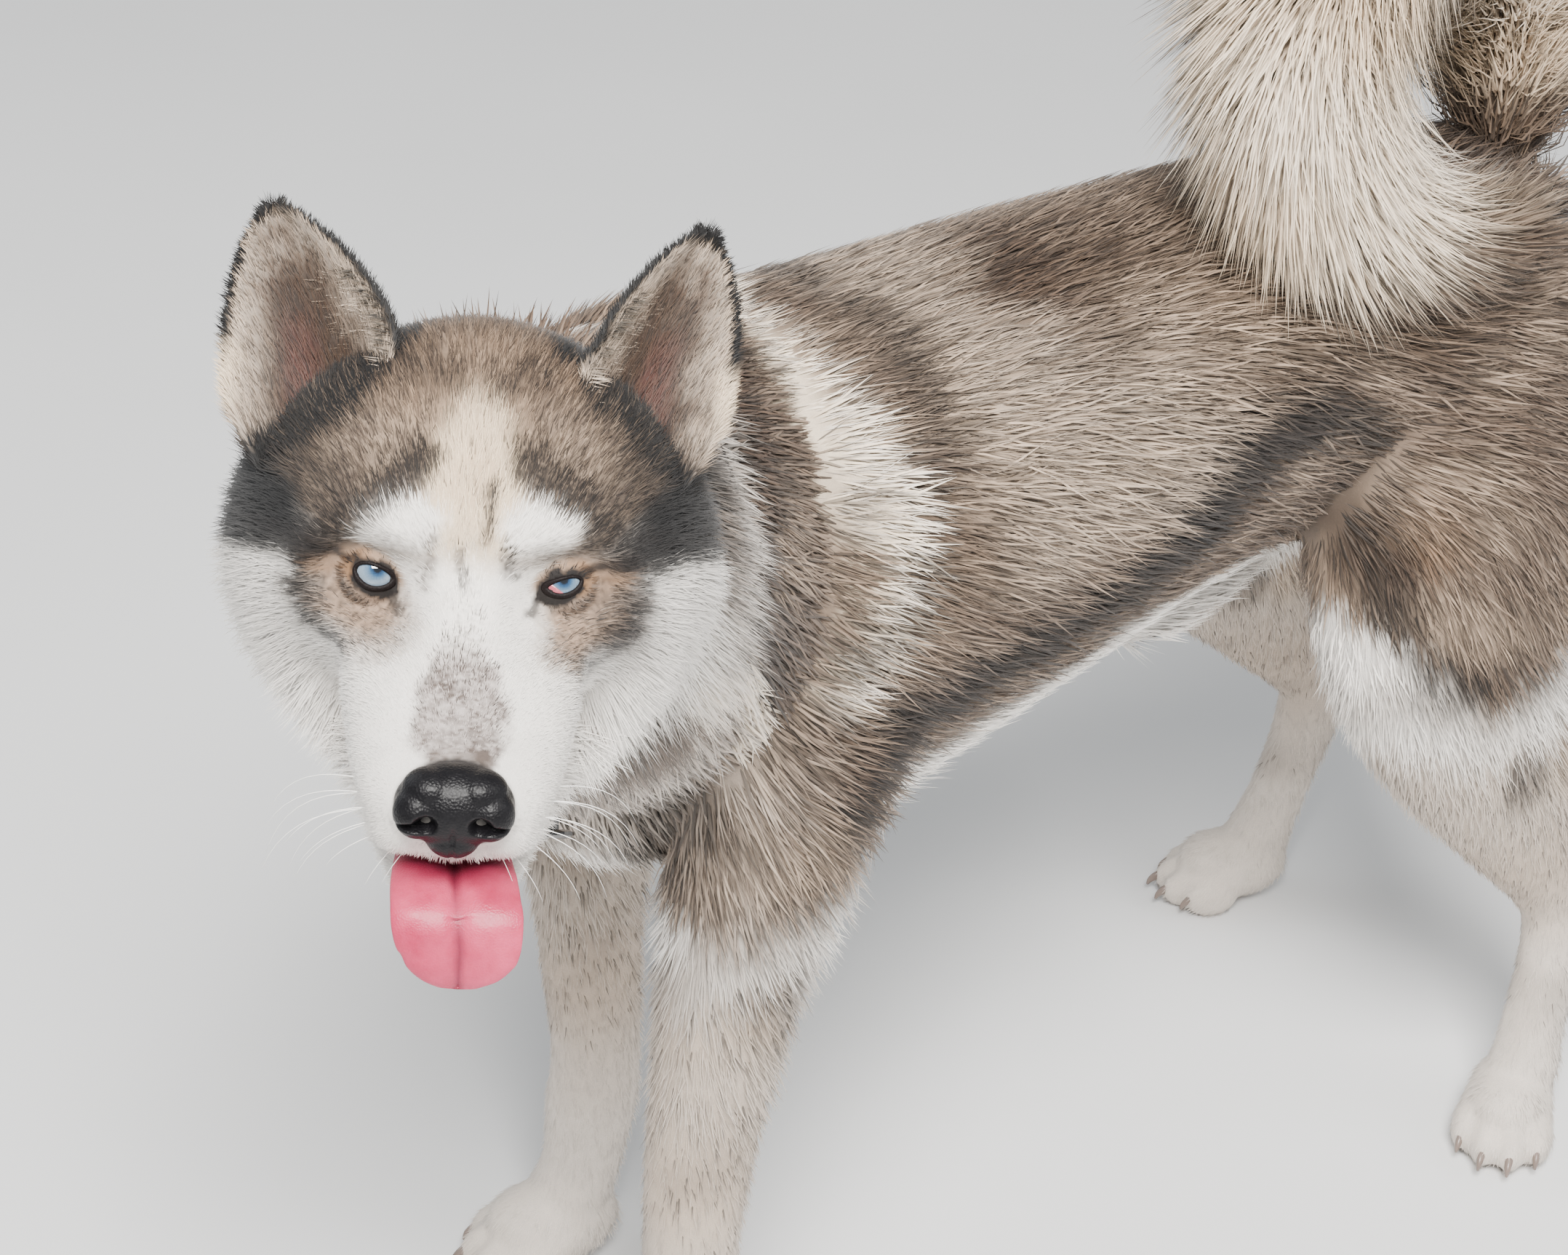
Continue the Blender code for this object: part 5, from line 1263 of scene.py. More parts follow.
def earPoint(side, u, v):
    # a point of the leaf: u runs from the root to the tip, v across from the inner to the outer edge
    base, tip, across = Vector(ear["base"]), Vector(ear["tip"]), Vector(ear["across"])
    spine = tip - base
    up = spine.normalized()
    across = (across - up * across.dot(up)).normalized()
    back = up.cross(across).normalized()
    if back.y < 0:
        back = -back
    high = max(u, 0.0)
    width = ear["halfWidth"] * max(1.0 - high ** 1.75, 0.0) ** 0.72 * (1.0 + 0.10 * math.sin(3.0 * high))
    width = max(width * (1.0 - 0.22 * max(0.0, 0.25 - u) / 0.25), 0.0022)
    width *= float(np.interp(u, ear["wideAt"], ear["wide"][side][0 if v < 0 else 1]))
    cup = ear["cup"] * (1.0 - 0.75 * high) * (1.0 + 0.5 * min(u, 0.0))
    place = base + spine * u + Vector((ear["lean"][side] * high, 0, 0))
    place += across * width * v + back * cup * (0.35 - v * v)
    place += Vector((0, 0.004 * math.sin(math.pi * high), 0))
    # a fold along the lower outer edge and a slight roll of both rims
    fold = 0.0016 * math.exp(-((v - 0.55) / 0.12) ** 2) * max(0.0, 0.5 - high)
    place += back * 0.0022 * abs(v) ** 6 - back * fold
    return Vector((place.x * side, place.y, place.z))


def makeEar(side, name):
    columns, rows = ear["grid"]
    deselectAll()
    bpy.ops.mesh.primitive_grid_add(x_subdivisions=columns, y_subdivisions=rows, size=2.0)
    piece = bpy.context.object
    piece.name = name
    for vertex in piece.data.vertices:
        vertex.co = earPoint(side, -0.30 + 1.30 * (vertex.co.y + 1) / 2, vertex.co.x)
    thick = piece.modifiers.new("thickness", "SOLIDIFY")
    thick.thickness = ear["thickness"]
    thick.offset = 0.0
    applyAll(piece)
    turnOutwards(piece.data)
    piece.data.transform(headToPart)
    piece.data.shade_smooth()
    return piece


def earShares(points, side):
    # where points of an ear lie along and across it
    local = inHead(points)
    local[:, 0] *= side
    base, tip, across = [np.array(ear[key]) for key in ("base", "tip", "across")]
    spine = tip - base
    length = np.linalg.norm(spine)
    up = spine / length
    across = across - up * across.dot(up)
    across /= np.linalg.norm(across)
    u = (local - base) @ up / length
    high = np.clip(u, 0, 1)
    width = ear["halfWidth"] * np.clip(1.0 - high ** 1.75, 0.01, 1) ** 0.72
    width *= 1.0 + 0.10 * np.sin(3.0 * high)
    local = local - np.stack([ear["lean"][side] * high, 0 * high, 0 * high], axis=1)
    v = (local - base) @ across / width
    inner, outer = [np.interp(u, ear["wideAt"], ear["wide"][side][n]) for n in (0, 1)]
    v = v / np.where(v < 0, inner, outer)
    return u, np.clip(v, -1.2, 1.2)


def paintEar(points, normals, side):
    u, v = earShares(points, side)
    paint = Paint(len(points), "paleGrey", "beige")
    facing = normals @ np.array(headToPart.to_3x3())[:, 1]      # behind the ear or inside it
    inside = soft(-facing, -0.1, 0.3)
    wobble = 0.12 * grain(points, 0.006, 2.0)
    middle = (1 - soft(np.abs(v - 0.02 + wobble), 0.36, 0.86)) * (1 - soft(u + wobble, 0.70, 1.0))
    paint.over("grey", "brown", inside * middle * 0.90)
    middle = (1 - soft(np.abs(v + 0.02 + wobble), 0.22, 0.60)) * (1 - soft(u + wobble, 0.50, 0.84))
    paint.over("dark", "brown", inside * middle * 0.85)
    deep = (1 - soft(np.abs(v - 0.12), 0.08, 0.34)) * (1 - soft(u, 0.25, 0.55)) * soft(u, -0.25, -0.05)
    paint.over("flesh", "brown", inside * deep * 0.75)
    paint.over("grey", "dark", (1 - inside) * 0.85)
    rim = soft(np.abs(v) + 0.3 * wobble, 0.84, 0.93) * np.where(v > 0, soft(u, 0.25, 0.45), 1.0)
    tipEdge = soft(u + 0.3 * wobble, 0.90, 0.95)
    paint.over("black", "black", np.maximum(rim, tipEdge))
    rootward = soft(-u + 0.5 * wobble, 0.06, 0.15)
    outer = soft(v, 0.70, 0.90) * (1 - soft(u, 0.25, 0.45))
    paint.over("cream", "cream", outer * 0.8)
    paint.over("black", "black", rootward)
    return paint.root, paint.tip


def furEar(piece, side, name):
    triangles, normals = trianglesOf(piece)
    points = meshPoints(piece)
    root, tip = paintEar(points, normals, side)
    # the ear's skin takes less than its tufts' full colour: painted shade under the fur
    colourMesh(piece, root * 0.55 + tip * 0.1)
    dress(piece, skinLook, "coat_white", name)
    middles = points[triangles].mean(axis=1)
    u, v = earShares(middles, side)
    density = np.where(u > -0.27, 1.0, 0.0) * (1 + 1.2 * (np.abs(v) > 0.8))
    count = ear["tufts"] // 1
    roots, facing = scatter(points, triangles, normals, density, count)
    u, v = earShares(roots, side)
    turn = np.array(headToPart.to_3x3())
    upward = (np.array(ear["tip"]) - np.array(ear["base"])) * (side, 1, 1)
    upward /= np.linalg.norm(upward)
    outward = np.array(ear["across"]) * (side, 1, 1)
    outward /= np.linalg.norm(outward)
    lies = (upward[None] + outward[None] * (0.75 * v)[:, None]) @ turn.T
    inside = facing @ turn[:, 1] < 0
    sizes = np.stack([
        np.where(inside, 0.0058 + 0.0030 * (1 - np.clip(u, 0, 1)), 0.0050) * (1 - 0.30 * (np.abs(v) > 0.85)),
        np.full(count, 0.00062),
        np.where(inside, 24.0, 12.0) + 12.0 * (np.abs(v) > 0.9),
    ], axis=1)
    root, tip = paintEar(roots, facing, side)
    uv = np.stack([0.25 + 0.2 * v + 0.5 * (facing @ turn[:, 1] > 0), 0.1 + 0.75 * np.clip(u, 0, 1)], axis=1)
    growTufts("coat_" + name, roots, facing, lies, sizes, (root, tip), 0.0, uv, 1, "coat_white")
    # long pale hairs from the inner edge across the opening
    inner = np.nonzero(inside & (v < -0.35) & (u > -0.05) & (u < 0.62))[0]
    inner = rng.choice(inner, min(len(inner), ear["innerHairs"]), replace=False)
    lies = (upward[None] * 0.55 + outward[None]) @ turn.T
    lies = np.repeat(lies, len(inner), axis=0)
    sizes = np.tile(ear["innerHair"], (len(inner), 1))
    shades = (root[inner], tip[inner] * 0.9 + np.array(colours["cream"]) * 0.1)
    growTufts("inner_hair_" + name, roots[inner], facing[inner], lies, sizes, shades, 1.1, uv[inner],
              2, "coat_white")
    print(name, count, "tufts")


for side, name in ((1, "ear_left"), (-1, "ear_right")):
    furEar(makeEar(side, name), side, name)


# Eyes: wet balls with a pale blue iris, drawn on a map wound round the line of sight

eye = {
    "iris": 0.64,          # radius as a share of the eyeball's
    "pupil": 0.11,
    "bulge": 0.00075,
}


def makeEye(side, name):
    deselectAll()
    radius = head["eyeRadius"]
    bpy.ops.mesh.primitive_uv_sphere_add(segments=64, ring_count=48, radius=radius)
    piece = bpy.context.object
    piece.name = "eyeball" + name[3:]
    gaze = Vector(head["gaze"][side]).normalized()
    for vertex in piece.data.vertices:
        if vertex.co.z > 0:
            out = math.hypot(vertex.co.x, vertex.co.y) / (radius * eye["iris"] * 1.05)
            vertex.co *= 1 + eye["bulge"] / radius * max(0.0, 1 - out * out)
    layer = piece.data.uv_layers[0]
    layer.name = "gaze"
    for loop in piece.data.loops:
        co = piece.data.vertices[loop.vertex_index].co
        out = math.acos(max(-1.0, min(1.0, co.z / co.length))) / math.pi
        turn = math.atan2(co.y, co.x)
        layer.data[loop.index].uv = (0.5 + out * math.cos(turn) * 0.5, 0.5 + out * math.sin(turn) * 0.5)
    piece.data.transform(gaze.to_track_quat("Z", "Y").to_matrix().to_4x4())
    piece.data.transform(Matrix.Translation((eyeLocal.x * side, eyeLocal.y, eyeLocal.z)))
    piece.data.transform(headToPart)
    piece.data.shade_smooth()
    return piece


def eyeMaterial():
    material, nodes, links, shader = newMaterial("wet iris", (0.6, 0.7, 0.8), 0.03, 0.7)
    layer = addNode(nodes, "ShaderNodeUVMap", uv_map="gaze")
    centred = addNode(nodes, "ShaderNodeVectorMath", {1: (-0.5, -0.5, 0.0)}, operation="ADD")
    parts = addNode(nodes, "ShaderNodeSeparateXYZ")
    length = addNode(nodes, "ShaderNodeVectorMath", operation="LENGTH")
    turn = addNode(nodes, "ShaderNodeMath", operation="ARCTAN2")
    polar = addNode(nodes, "ShaderNodeCombineXYZ")
    outScaled = addNode(nodes, "ShaderNodeMath", {1: 12.0}, operation="MULTIPLY")
    rays = addNode(nodes, "ShaderNodeTexNoise", {"Scale": 7.0, "Detail": 4.0, "Roughness": 0.7})
    # the map's radius grows with the angle from the line of sight
    rings = addNode(nodes, "ShaderNodeValToRGB")
    rampEnds = math.degrees(math.asin(eye["iris"])) / 180 * 0.5
    pupilEnd = math.degrees(math.asin(eye["pupil"])) / 180 * 0.5
    stops = [
        (0.0, (0.003, 0.004, 0.006)), (pupilEnd * 0.9 / 0.5, (0.004, 0.006, 0.010)),
        (pupilEnd * 1.3 / 0.5, (0.012, 0.035, 0.08)), (0.065, (0.025, 0.070, 0.14)),
        (0.092, (0.085, 0.145, 0.215)), (0.140, (0.16, 0.215, 0.275)),
        (rampEnds * 0.93 / 0.5, (0.20, 0.245, 0.29)), (rampEnds * 1.0 / 0.5, (0.05, 0.09, 0.13)),
        (0.40, (0.16, 0.13, 0.14)),
    ]
    ramp = rings.color_ramp
    while len(ramp.elements) < len(stops):
        ramp.elements.new(0.5)
    for element, (place, colour) in zip(ramp.elements, stops):
        element.position = place
        element.color = (*colour, 1.0)
    doubled = addNode(nodes, "ShaderNodeMath", {1: 2.0}, operation="MULTIPLY")
    wavy = addNode(nodes, "ShaderNodeMapRange", {"To Min": -0.016, "To Max": 0.016})
    summed = addNode(nodes, "ShaderNodeMath", operation="ADD")
    shade = addNode(nodes, "ShaderNodeMapRange", {"To Min": 0.80, "To Max": 1.18})
    tint = addNode(nodes, "ShaderNodeVectorMath", operation="SCALE")
    links.new(layer.outputs["UV"], centred.inputs[0])
    links.new(centred.outputs["Vector"], parts.inputs["Vector"])
    links.new(centred.outputs["Vector"], length.inputs[0])
    links.new(parts.outputs["Y"], turn.inputs[0])
    links.new(parts.outputs["X"], turn.inputs[1])
    links.new(length.outputs["Value"], outScaled.inputs[0])
    links.new(turn.outputs["Value"], polar.inputs["X"])
    links.new(outScaled.outputs["Value"], polar.inputs["Y"])
    links.new(polar.outputs["Vector"], rays.inputs["Vector"])
    links.new(length.outputs["Value"], doubled.inputs[0])
    links.new(rays.outputs["Fac"], wavy.inputs["Value"])
    links.new(doubled.outputs["Value"], summed.inputs[0])
    links.new(wavy.outputs["Result"], summed.inputs[1])
    links.new(summed.outputs["Value"], rings.inputs["Fac"])
    links.new(rays.outputs["Fac"], shade.inputs["Value"])
    links.new(rings.outputs["Color"], tint.inputs[0])
    links.new(shade.outputs["Result"], tint.inputs["Scale"])
    links.new(tint.outputs["Vector"], shader.inputs["Base Color"])
    shader.inputs["Coat Weight"].default_value = 1.0
    shader.inputs["Coat Roughness"].default_value = 0.01
    return material


irisLook = eyeMaterial()
for side, name in ((1, "eye_left"), (-1, "eye_right")):
    dress(makeEye(side, name), irisLook, "eye", name)


def leatherMaterial(name, base, roughness, cells, depth, gloss=0.0, specular=0.5):
    material, nodes, links, shader = newMaterial(name, base, roughness, specular)
    place = addNode(nodes, "ShaderNodeTexCoord")
    pebbles = addNode(nodes, "ShaderNodeTexVoronoi", {"Scale": cells})
    noise = addNode(nodes, "ShaderNodeTexNoise", {"Scale": cells * 0.35, "Detail": 4.0})
    shades = {6: (*[c * 0.7 for c in base], 1), 7: (*[c * 1.5 for c in base], 1)}
    tone = addNode(nodes, "ShaderNodeMix", shades, data_type="RGBA")
    bump = addNode(nodes, "ShaderNodeBump", {"Strength": 0.5, "Distance": depth})
    ends = {"To Min": roughness * 0.8, "To Max": min(1.0, roughness * 1.35)}
    dull = addNode(nodes, "ShaderNodeMapRange", ends)
    links.new(place.outputs["Object"], pebbles.inputs["Vector"])
    links.new(place.outputs["Object"], noise.inputs["Vector"])
    links.new(noise.outputs["Fac"], tone.inputs["Factor"])
    links.new(tone.outputs[2], shader.inputs["Base Color"])
    links.new(noise.outputs["Fac"], dull.inputs["Value"])
    links.new(dull.outputs["Result"], shader.inputs["Roughness"])
    links.new(pebbles.outputs["Distance"], bump.inputs["Height"])
    links.new(bump.outputs["Normal"], shader.inputs["Normal"])
    shader.inputs["Coat Weight"].default_value = gloss
    shader.inputs["Coat Roughness"].default_value = 0.18
    return material


rimLook = leatherMaterial("lid rim", (0.007, 0.005, 0.005), 0.5, 1400.0, 0.0002, 0.0, 0.10)


def makeRims(side):
    # the bare dark edge of both lids, with the drawn-out corners
    around, thick = 72, 10
    radius = head["eyeRadius"]
    points = []
    for k in range(around):
        turn = 2 * math.pi * k / around
        x, z = lidEdge(side, turn)
        reach = radius + 0.0009
        y = -math.sqrt(max(reach * reach - x * x - z * z, 1e-8))
        centre = Vector((x * side, y, z))
        out = centre.normalized()
        away = Vector((math.cos(turn) * side, 0, math.sin(turn)))
        away = (away - out * away.dot(out)).normalized()
        breadth = 0.0007 + 0.0007 * max(0.0, -math.cos(turn)) ** 3 + 0.0004 * max(0.0, -math.sin(turn))
        for n in range(thick):
            a = 2 * math.pi * n / thick
            bead = out * math.cos(a) * 0.0007 + away * math.sin(a) * breadth
            points.append(centre + away * breadth * 0.9 + bead)
    faces = []
    for k in range(around):
        m = (k + 1) % around
        for n in range(thick):
            j = (n + 1) % thick
            faces.append((k * thick + n, k * thick + j, m * thick + j, m * thick + n))
    piece = meshFrom("lid_rim", points, faces)
    piece.data.transform(headToPart @ eyeMatrix(side))
    return piece


rims = joinPieces([makeRims(side) for side in (1, -1)], "lid_rims")
dress(rims, rimLook, "nose_leather")

thirdLid = {
    "edge": {1: (0.52, 0.42), -1: (1.0, 0.85)},   # shares of the opening, inward and down
    "slope": (0.62, 0.0, 0.78),
    "clear": 0.00045,                             # over the eyeball
    "thickness": 0.0004,
}

thirdLook, _, _, thirdShader = newMaterial("third lid", (0.36, 0.085, 0.11), 0.2, 0.5)
thirdShader.inputs["Coat Weight"].default_value = 0.6


def makeThirdLid(side):
    # a thin pink fold over the inner, lower part of the eyeball
    deselectAll()
    bpy.ops.mesh.primitive_uv_sphere_add(segments=40, ring_count=24, radius=head["eyeRadius"] + thirdLid["clear"])
    piece = bpy.context.object
    half, up, down = head["opening"][side]
    inward, upward = head["openingShift"][side]
    reach, drop = thirdLid["edge"][side]
    cuts = (
        (Vector((inward - half * reach, 0, upward - down * drop)), Vector(thirdLid["slope"])),
        (Vector((0, -0.004, 0)), Vector((0, 1, 0))),
    )
    work = bmesh.new()
    work.from_mesh(piece.data)
    for place, way in cuts:
        everything = work.verts[:] + work.edges[:] + work.faces[:]
        bmesh.ops.bisect_plane(work, geom=everything, dist=1e-6, plane_co=place, plane_no=way, clear_outer=True)
    work.to_mesh(piece.data)
    work.free()
    thick = piece.modifiers.new("thickness", "SOLIDIFY")
    thick.thickness = thirdLid["thickness"]
    thick.offset = 1.0
    applyAll(piece)
    piece.data.transform(headToPart @ eyeMatrix(side) @ Matrix.Diagonal((side, 1, 1, 1)))
    if side < 0:
        piece.data.flip_normals()
    piece.data.shade_smooth()
    return piece


thirdLids = joinPieces([makeThirdLid(side) for side in (1, -1)], "third_lids")
dress(thirdLids, thirdLook, "tongue")
print("eyes and lids made")


# Nose leather

nose = {
    "centre": (0.0, -0.0965, -0.0418),
    "radii": (0.0194, 0.0125, 0.0138),
    "voxel": 0.00065,
    "nostril": [                  # centre and radii in x and z, depth: a round hole that runs out into a slit
        ((0.0088, -0.0030), (0.0037, 0.0030), 0.0062),
        ((0.0125, -0.0042), (0.0040, 0.0016), 0.0036),
        ((0.0162, -0.0048), (0.0036, 0.0011), 0.0024),
    ],
    "groove": (0.00075, 0.0013),  # half width and depth
}


def makeNose():
    x, y, z = nose["centre"]
    forms = [egg((x, y, z), nose["radii"])]
    for side in (1, -1):
        forms.append(egg((side * 0.0115, y - 0.0045, z - 0.0010), (0.0080, 0.0080, 0.0090)))
        forms.append(egg((side * 0.0075, y - 0.0020, z + 0.0060), (0.0095, 0.0090, 0.0070)))
    forms.append(egg((0, y - 0.001, z - 0.0105), (0.0090, 0.0085, 0.0070)))
    piece = joinPieces(forms, "nose_leather")
    melt(piece, nose["voxel"], 8)
    points = meshPoints(piece)
    # the nostrils, and the groove between them
    for side in (1, -1):
        for (cx, cz), (rx, rz), depth in nose["nostril"]:
            away = np.hypot((points[:, 0] - cx * side) / rx, (points[:, 2] - z - cz) / rz)
            near = np.clip(1.25 - away, 0, 1) ** 1.2
            front = points[:, 1] < y
            points[:, 1] += np.where(front, near * depth, 0.0)
    grooveWidth, grooveDepth = nose["groove"]
    groove = np.exp(-(points[:, 0] / grooveWidth) ** 2) * soft(z - 0.001 - points[:, 2], 0.0, 0.006)
    points[:, 1] += groove * (points[:, 1] < y) * grooveDepth
    piece.data.vertices.foreach_set("co", points.ravel())
    soften = piece.modifiers.new("soften", "SMOOTH")
    soften.iterations = 2
    applyAll(piece)
    piece.data.transform(headToPart)
    piece.data.shade_smooth()
    return piece


noseLook = leatherMaterial("nose leather", (0.0035, 0.0032, 0.004), 0.42, 1150.0, 0.00035, 0.05, 0.18)
dress(makeNose(), noseLook, "nose_leather", "nose")


# Tongue

tongue = {
    "sections": [
        ((0.000, -0.030, -0.0715), 0.0160, 0.0024), ((0.000, -0.062, -0.0725), 0.0185, 0.0028),
        ((0.001, -0.084, -0.0735), 0.0205, 0.0030), ((0.002, -0.0960, -0.0770), 0.0210, 0.0031),
        ((0.003, -0.1010, -0.0820), 0.0211, 0.0030), ((0.004, -0.1025, -0.0895), 0.0198, 0.0028),
        ((0.004, -0.1028, -0.0955), 0.0172, 0.0026), ((0.004, -0.1024, -0.1000), 0.0130, 0.0024),
        ((0.004, -0.1016, -0.1030), 0.0075, 0.0020),
    ],
    "groove": (0.0013, 0.0020),   # half width and depth of the crease, then of the hollow round it
    "hollow": (0.0060, 0.0010),
    "ripple": 0.0004,
}


def makeTongue():
    piece = loft(tongue["sections"], 64, 8, square=2.3, cap=0.8)
    points = meshPoints(piece)
    # the groove down the middle and the raised sides
    across = points[:, 0] - np.interp(-points[:, 1], [0.03, 0.09, 0.104], [0.0, 0.0015, 0.004])
    path = np.array([row[0] for row in tongue["sections"]])
    outward = np.where((points[:, 2] < -0.078)[:, None], (0.0, -1.0, 0.15), (0.0, -0.25, 1.0))
    outward = outward / np.linalg.norm(outward, axis=1)[:, None]
    middle = path[np.argmin(np.linalg.norm(points[:, None, 1:] - path[None, :, 1:], axis=2), axis=1)]
    top = np.sum((points - middle) * outward, axis=1) > 0
    groove = sum(np.exp(-(across / width) ** 2) * depth for width, depth in (tongue["groove"], tongue["hollow"]))
    points -= outward * (groove * top)[:, None]
    ripple = tongue["ripple"] * grain(points, 0.006, 3.0)
    points += outward * (ripple * top)[:, None]
    # the tongue is painted darker in its middle groove and at its upper end behind the lips: painted shade in the
    # crease and under the lips
    depth = np.exp(-(across / 0.0014) ** 2) * top
    edge = soft(points[:, 2], -0.074, -0.068)
    tone = np.ones((len(points), 3)) * (1 - 0.55 * depth - 0.45 * edge * (1 - depth))[:, None]
    piece.data.vertices.foreach_set("co", points.ravel())
    piece.name = "tongue_flesh"
    colourMesh(piece, tone)
    piece.data.transform(headToPart)
    piece.data.shade_smooth()
    return piece


def tongueMaterial():
    material, nodes, links, shader = newMaterial("tongue", (0.74, 0.20, 0.26), 0.30, 0.28)
    place = addNode(nodes, "ShaderNodeTexCoord")
    broad = addNode(nodes, "ShaderNodeTexNoise", {"Scale": 55.0, "Detail": 5.0, "Roughness": 0.6})
    fine = addNode(nodes, "ShaderNodeTexVoronoi", {"Scale": 1500.0})
    tone = addNode(nodes, "ShaderNodeValToRGB")
    tone.color_ramp.elements[0].position = 0.30
    tone.color_ramp.elements[0].color = (0.34, 0.020, 0.060, 1)
    tone.color_ramp.elements[1].position = 0.72
    tone.color_ramp.elements[1].color = (0.56, 0.065, 0.135, 1)
    bump = addNode(nodes, "ShaderNodeBump", {"Strength": 0.45, "Distance": 0.0003})
    ends = {"From Min": 0.35, "From Max": 0.65, "To Min": 0.34, "To Max": 0.60}
    wet = addNode(nodes, "ShaderNodeMapRange", ends)
    links.new(place.outputs["Object"], broad.inputs["Vector"])
    links.new(place.outputs["Object"], fine.inputs["Vector"])
    links.new(broad.outputs["Fac"], tone.inputs["Fac"])
    # the coat attribute carries the painted shade of the groove and of the upper end, which darkens the tongue's
    # colour
    shade = addNode(nodes, "ShaderNodeAttribute", attribute_name="coat")
    darker = addNode(nodes, "ShaderNodeVectorMath", operation="MULTIPLY")
    links.new(tone.outputs["Color"], darker.inputs[0])
    links.new(shade.outputs["Color"], darker.inputs[1])
    links.new(darker.outputs["Vector"], shader.inputs["Base Color"])
    links.new(broad.outputs["Fac"], wet.inputs["Value"])
    links.new(wet.outputs["Result"], shader.inputs["Roughness"])
    links.new(fine.outputs["Distance"], bump.inputs["Height"])
    links.new(bump.outputs["Normal"], shader.inputs["Normal"])
    shader.inputs["Coat Weight"].default_value = 0.12
    shader.inputs["Coat Roughness"].default_value = 0.25
    shader.inputs["Subsurface Weight"].default_value = 0.12
    shader.inputs["Subsurface Scale"].default_value = 0.004
    return material


dress(makeTongue(), tongueMaterial(), "tongue", "tongue")
print("head pieces made")


# Whiskers

whiskers = {
    "rows": [  # root in the head's frame (mm, dog's left), direction, length
        ((24, -78, -52), (1.0, -0.25, 0.10), 34),
        ((27, -72, -50), (1.0, -0.05, 0.16), 42),
        ((29, -65, -48), (1.0, 0.15, 0.12), 46),
        ((25, -77, -57), (1.0, -0.25, -0.12), 36),
        ((28, -70, -56), (1.0, -0.05, -0.08), 46),
        ((30, -62, -54), (1.0, 0.20, -0.05), 48),
        ((24, -76, -62), (1.0, -0.25, -0.40), 30),
        ((27, -68, -62), (1.0, 0.0, -0.35), 40),
        ((29, -60, -60), (1.0, 0.20, -0.30), 40),
        ((16, -84, -65), (0.5, -0.45, -0.70), 16),
        ((20, -80, -66), (0.7, -0.35, -0.70), 20),
        ((12, -66, -94), (0.30, -0.30, -1.0), 18),
        ((5, -70, -95), (0.10, -0.45, -1.0), 15),
    ],
    "root": 0.00022,
    "drop": 2.6,
}


def makeWhiskers():
    points = []
    faces = []
    for root, way, length in whiskers["rows"]:
        for side in (1, -1):
            start = Vector((root[0] * side, root[1], root[2])) / 1000
            heading = Vector((way[0] * side, way[1], way[2]))
            heading = (heading + Vector(rng.normal(0, 0.06, 3))).normalized()
            reach = length / 1000 * rng.uniform(0.85, 1.15)
            start -= heading * 0.004
            steps = 9
            first = len(points)
            place = start.copy()
            for k in range(steps + 1):
                t = k / steps
                if k:
                    fall = -whiskers["drop"] * reach * 6 * t / steps * 4
                    heading = (heading + Vector((0, 0.05, fall))).normalized()
                    place = place + heading * reach / steps
                thick = whiskers["root"] * (1 - 0.82 * t)
                across = heading.cross(Vector((0, 0, 1))).normalized()
                up = across.cross(heading)
                for n in range(4):
                    a = math.pi / 2 * n
                    points.append(place + across * math.cos(a) * thick + up * math.sin(a) * thick)
            for k in range(steps):
                for n in range(4):
                    m = (n + 1) % 4
                    a = first + k * 4
                    faces.append((a + n, a + m, a + 4 + m, a + 4 + n))
            faces.append((first + 3, first + 2, first + 1, first))
            last = first + steps * 4
            faces.append((last, last + 1, last + 2, last + 3))
    piece = meshFrom("whiskers", points, faces)
    piece.data.transform(headToPart)
    return piece


whiskerLook = newMaterial("whisker", (0.86, 0.84, 0.80), 0.35, 0.5)[0]
dress(makeWhiskers(), whiskerLook, "coat_white")


# Claws, and the tag at the throat

claws = {
    "places": ((-0.0215, -0.0265), (-0.0078, -0.0385), (0.0078, -0.0385), (0.0215, -0.0265)),   # x, y in the paw
    "sections": [                 # share of x, forward, height, half width and half depth
        (0.98, 0.0060, 0.0150, 0.0024, 0.0029), (1.0, 0.0005, 0.0143, 0.0023, 0.0028),
        (1.02, -0.0040, 0.0115, 0.0017, 0.0021), (1.03, -0.0062, 0.0080, 0.0007, 0.0008),
    ],
}

clawLook = leatherMaterial("claw", (0.16, 0.12, 0.10), 0.35, 300.0, 0.0001, 0.2)


def makeClaws():
    made = []
    for place in pawPlaces():
        for across, forward in claws["places"]:
            rows = [((across * out, forward + ahead, z), a, b) for out, ahead, z, a, b in claws["sections"]]
            made.append(loft(rows, 12, 4, place=toPart @ place))
    return joinPieces(made, "claws")


dress(makeClaws(), clawLook, "nose_leather")
print("whiskers and claws made")

strapLook = leatherMaterial("strap", (0.010, 0.010, 0.011), 0.40, 700.0, 0.0002, 0.15, 0.4)
tagLook = leatherMaterial("tag", (0.006, 0.006, 0.007), 0.22, 260.0, 0.00005, 0.6, 0.5)
for name, look in (("collar", strapLook), ("collar_tag", tagLook)):
    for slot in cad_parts[name].material_slots:
        slot.material = look
print("collar and tag dressed")


# Floor, light and camera

studio = {
    "floorSize": 14.0,
    "floorTone": (0.70, 0.77),
    "sky": (0.86, 0.90, 0.94, 1.0),
    "skyPower": 0.52,
}


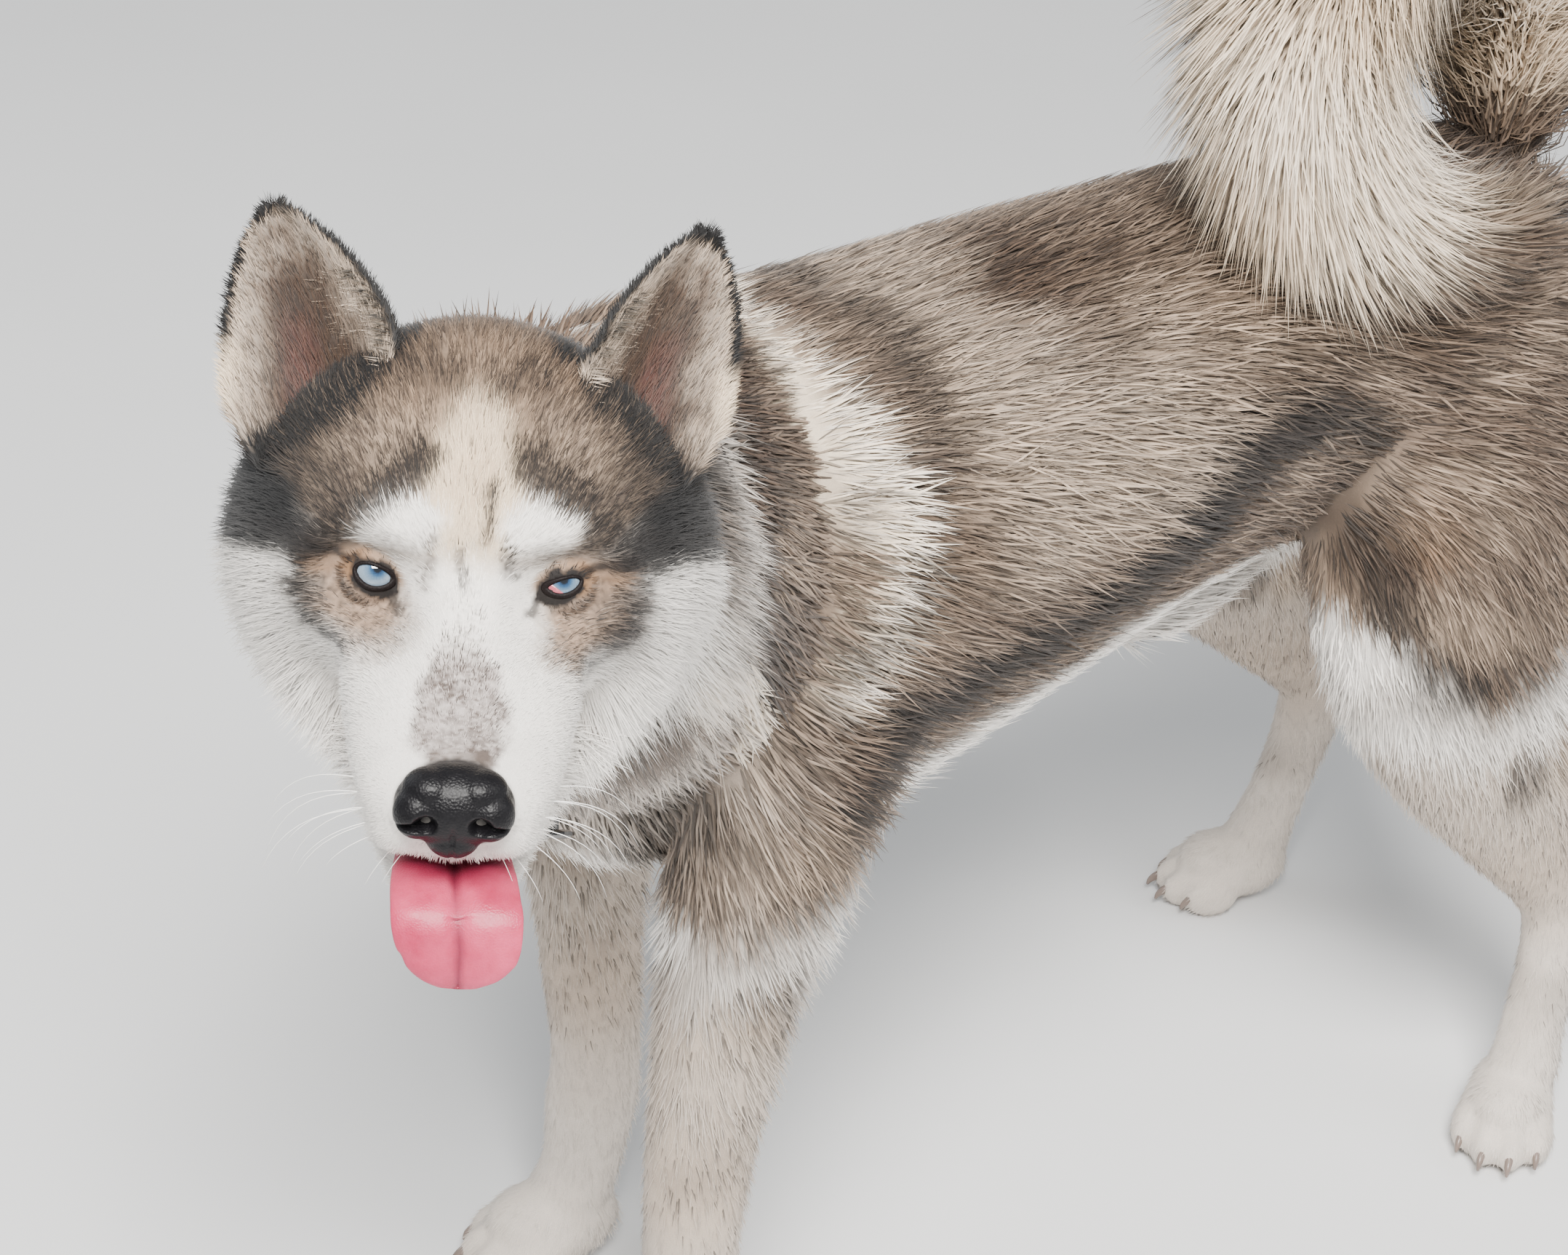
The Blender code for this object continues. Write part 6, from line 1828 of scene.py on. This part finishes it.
def makeStage():
    deselectAll()
    bpy.ops.mesh.primitive_plane_add(size=studio["floorSize"], location=(0, 0, 0))
    floor = bpy.context.object
    floor.name = "floor"
    material, nodes, links, shader = newMaterial("floor", (0.74, 0.73, 0.71), 0.85, 0.2)
    place = addNode(nodes, "ShaderNodeTexCoord")
    noise = addNode(nodes, "ShaderNodeTexNoise", {"Scale": 3.0, "Detail": 4.0})
    low, high = studio["floorTone"]
    ramp = addNode(nodes, "ShaderNodeMapRange", {"To Min": low, "To Max": high})
    links.new(place.outputs["Object"], noise.inputs["Vector"])
    links.new(noise.outputs["Fac"], ramp.inputs["Value"])
    links.new(ramp.outputs["Result"], shader.inputs["Base Color"])
    floor.data.materials.append(material)
    world = bpy.data.worlds.new("studio")
    world.use_nodes = True
    world.node_tree.nodes["Background"].inputs["Color"].default_value = studio["sky"]
    world.node_tree.nodes["Background"].inputs["Strength"].default_value = studio["skyPower"]
    bpy.context.scene.world = world


lights = [  # place, aim, size, power, colour
    ((1.55, -1.05, 2.75), (0.0, -0.1, 0.4), 1.2, 290.0, (1.0, 0.98, 0.95)),
    ((-2.2, -1.2, 1.8), (0.0, -0.1, 0.4), 2.0, 24.0, (0.95, 0.98, 1.0)),
    ((1.8, 1.9, 2.0), (0.0, 0.1, 0.5), 1.6, 30.0, (1.0, 0.99, 0.97)),
]


def makeLights():
    for n, (place, aim, size, power, colour) in enumerate(lights):
        lamp = bpy.data.lights.new("soft_%d" % n, "AREA")
        lamp.size = size
        lamp.energy = power
        lamp.color = colour
        item = bpy.data.objects.new("soft_%d" % n, lamp)
        item.location = place
        item.rotation_mode = "QUATERNION"
        item.rotation_quaternion = (Vector(aim) - Vector(place)).to_track_quat("-Z", "Y")
        bpy.context.scene.collection.objects.link(item)


view = {
    "place": (1.02643018, -0.86357698, 1.14712507),   # in the drawing's frame
    "right": (0.57048293, 0.82122244, 0.01195536),
    "up": (-0.43008968, 0.28630836, 0.85618362),
    "back": (0.69969428, -0.49358002, 0.51653333),
    "lens": 75.49,
}


def makeCamera():
    data = bpy.data.cameras.new("camera")
    data.lens = view["lens"]
    data.sensor_width = 36.0
    data.clip_start = 0.05
    camera = bpy.data.objects.new("camera", data)
    bpy.context.scene.collection.objects.link(camera)
    turn = Matrix((view["right"], view["up"], view["back"])).transposed().to_4x4()
    camera.matrix_world = Matrix.Translation(Vector(view["place"]) + shift) @ turn
    bpy.context.scene.camera = camera


makeStage()
makeLights()
makeCamera()
print("floor, lights and camera set")
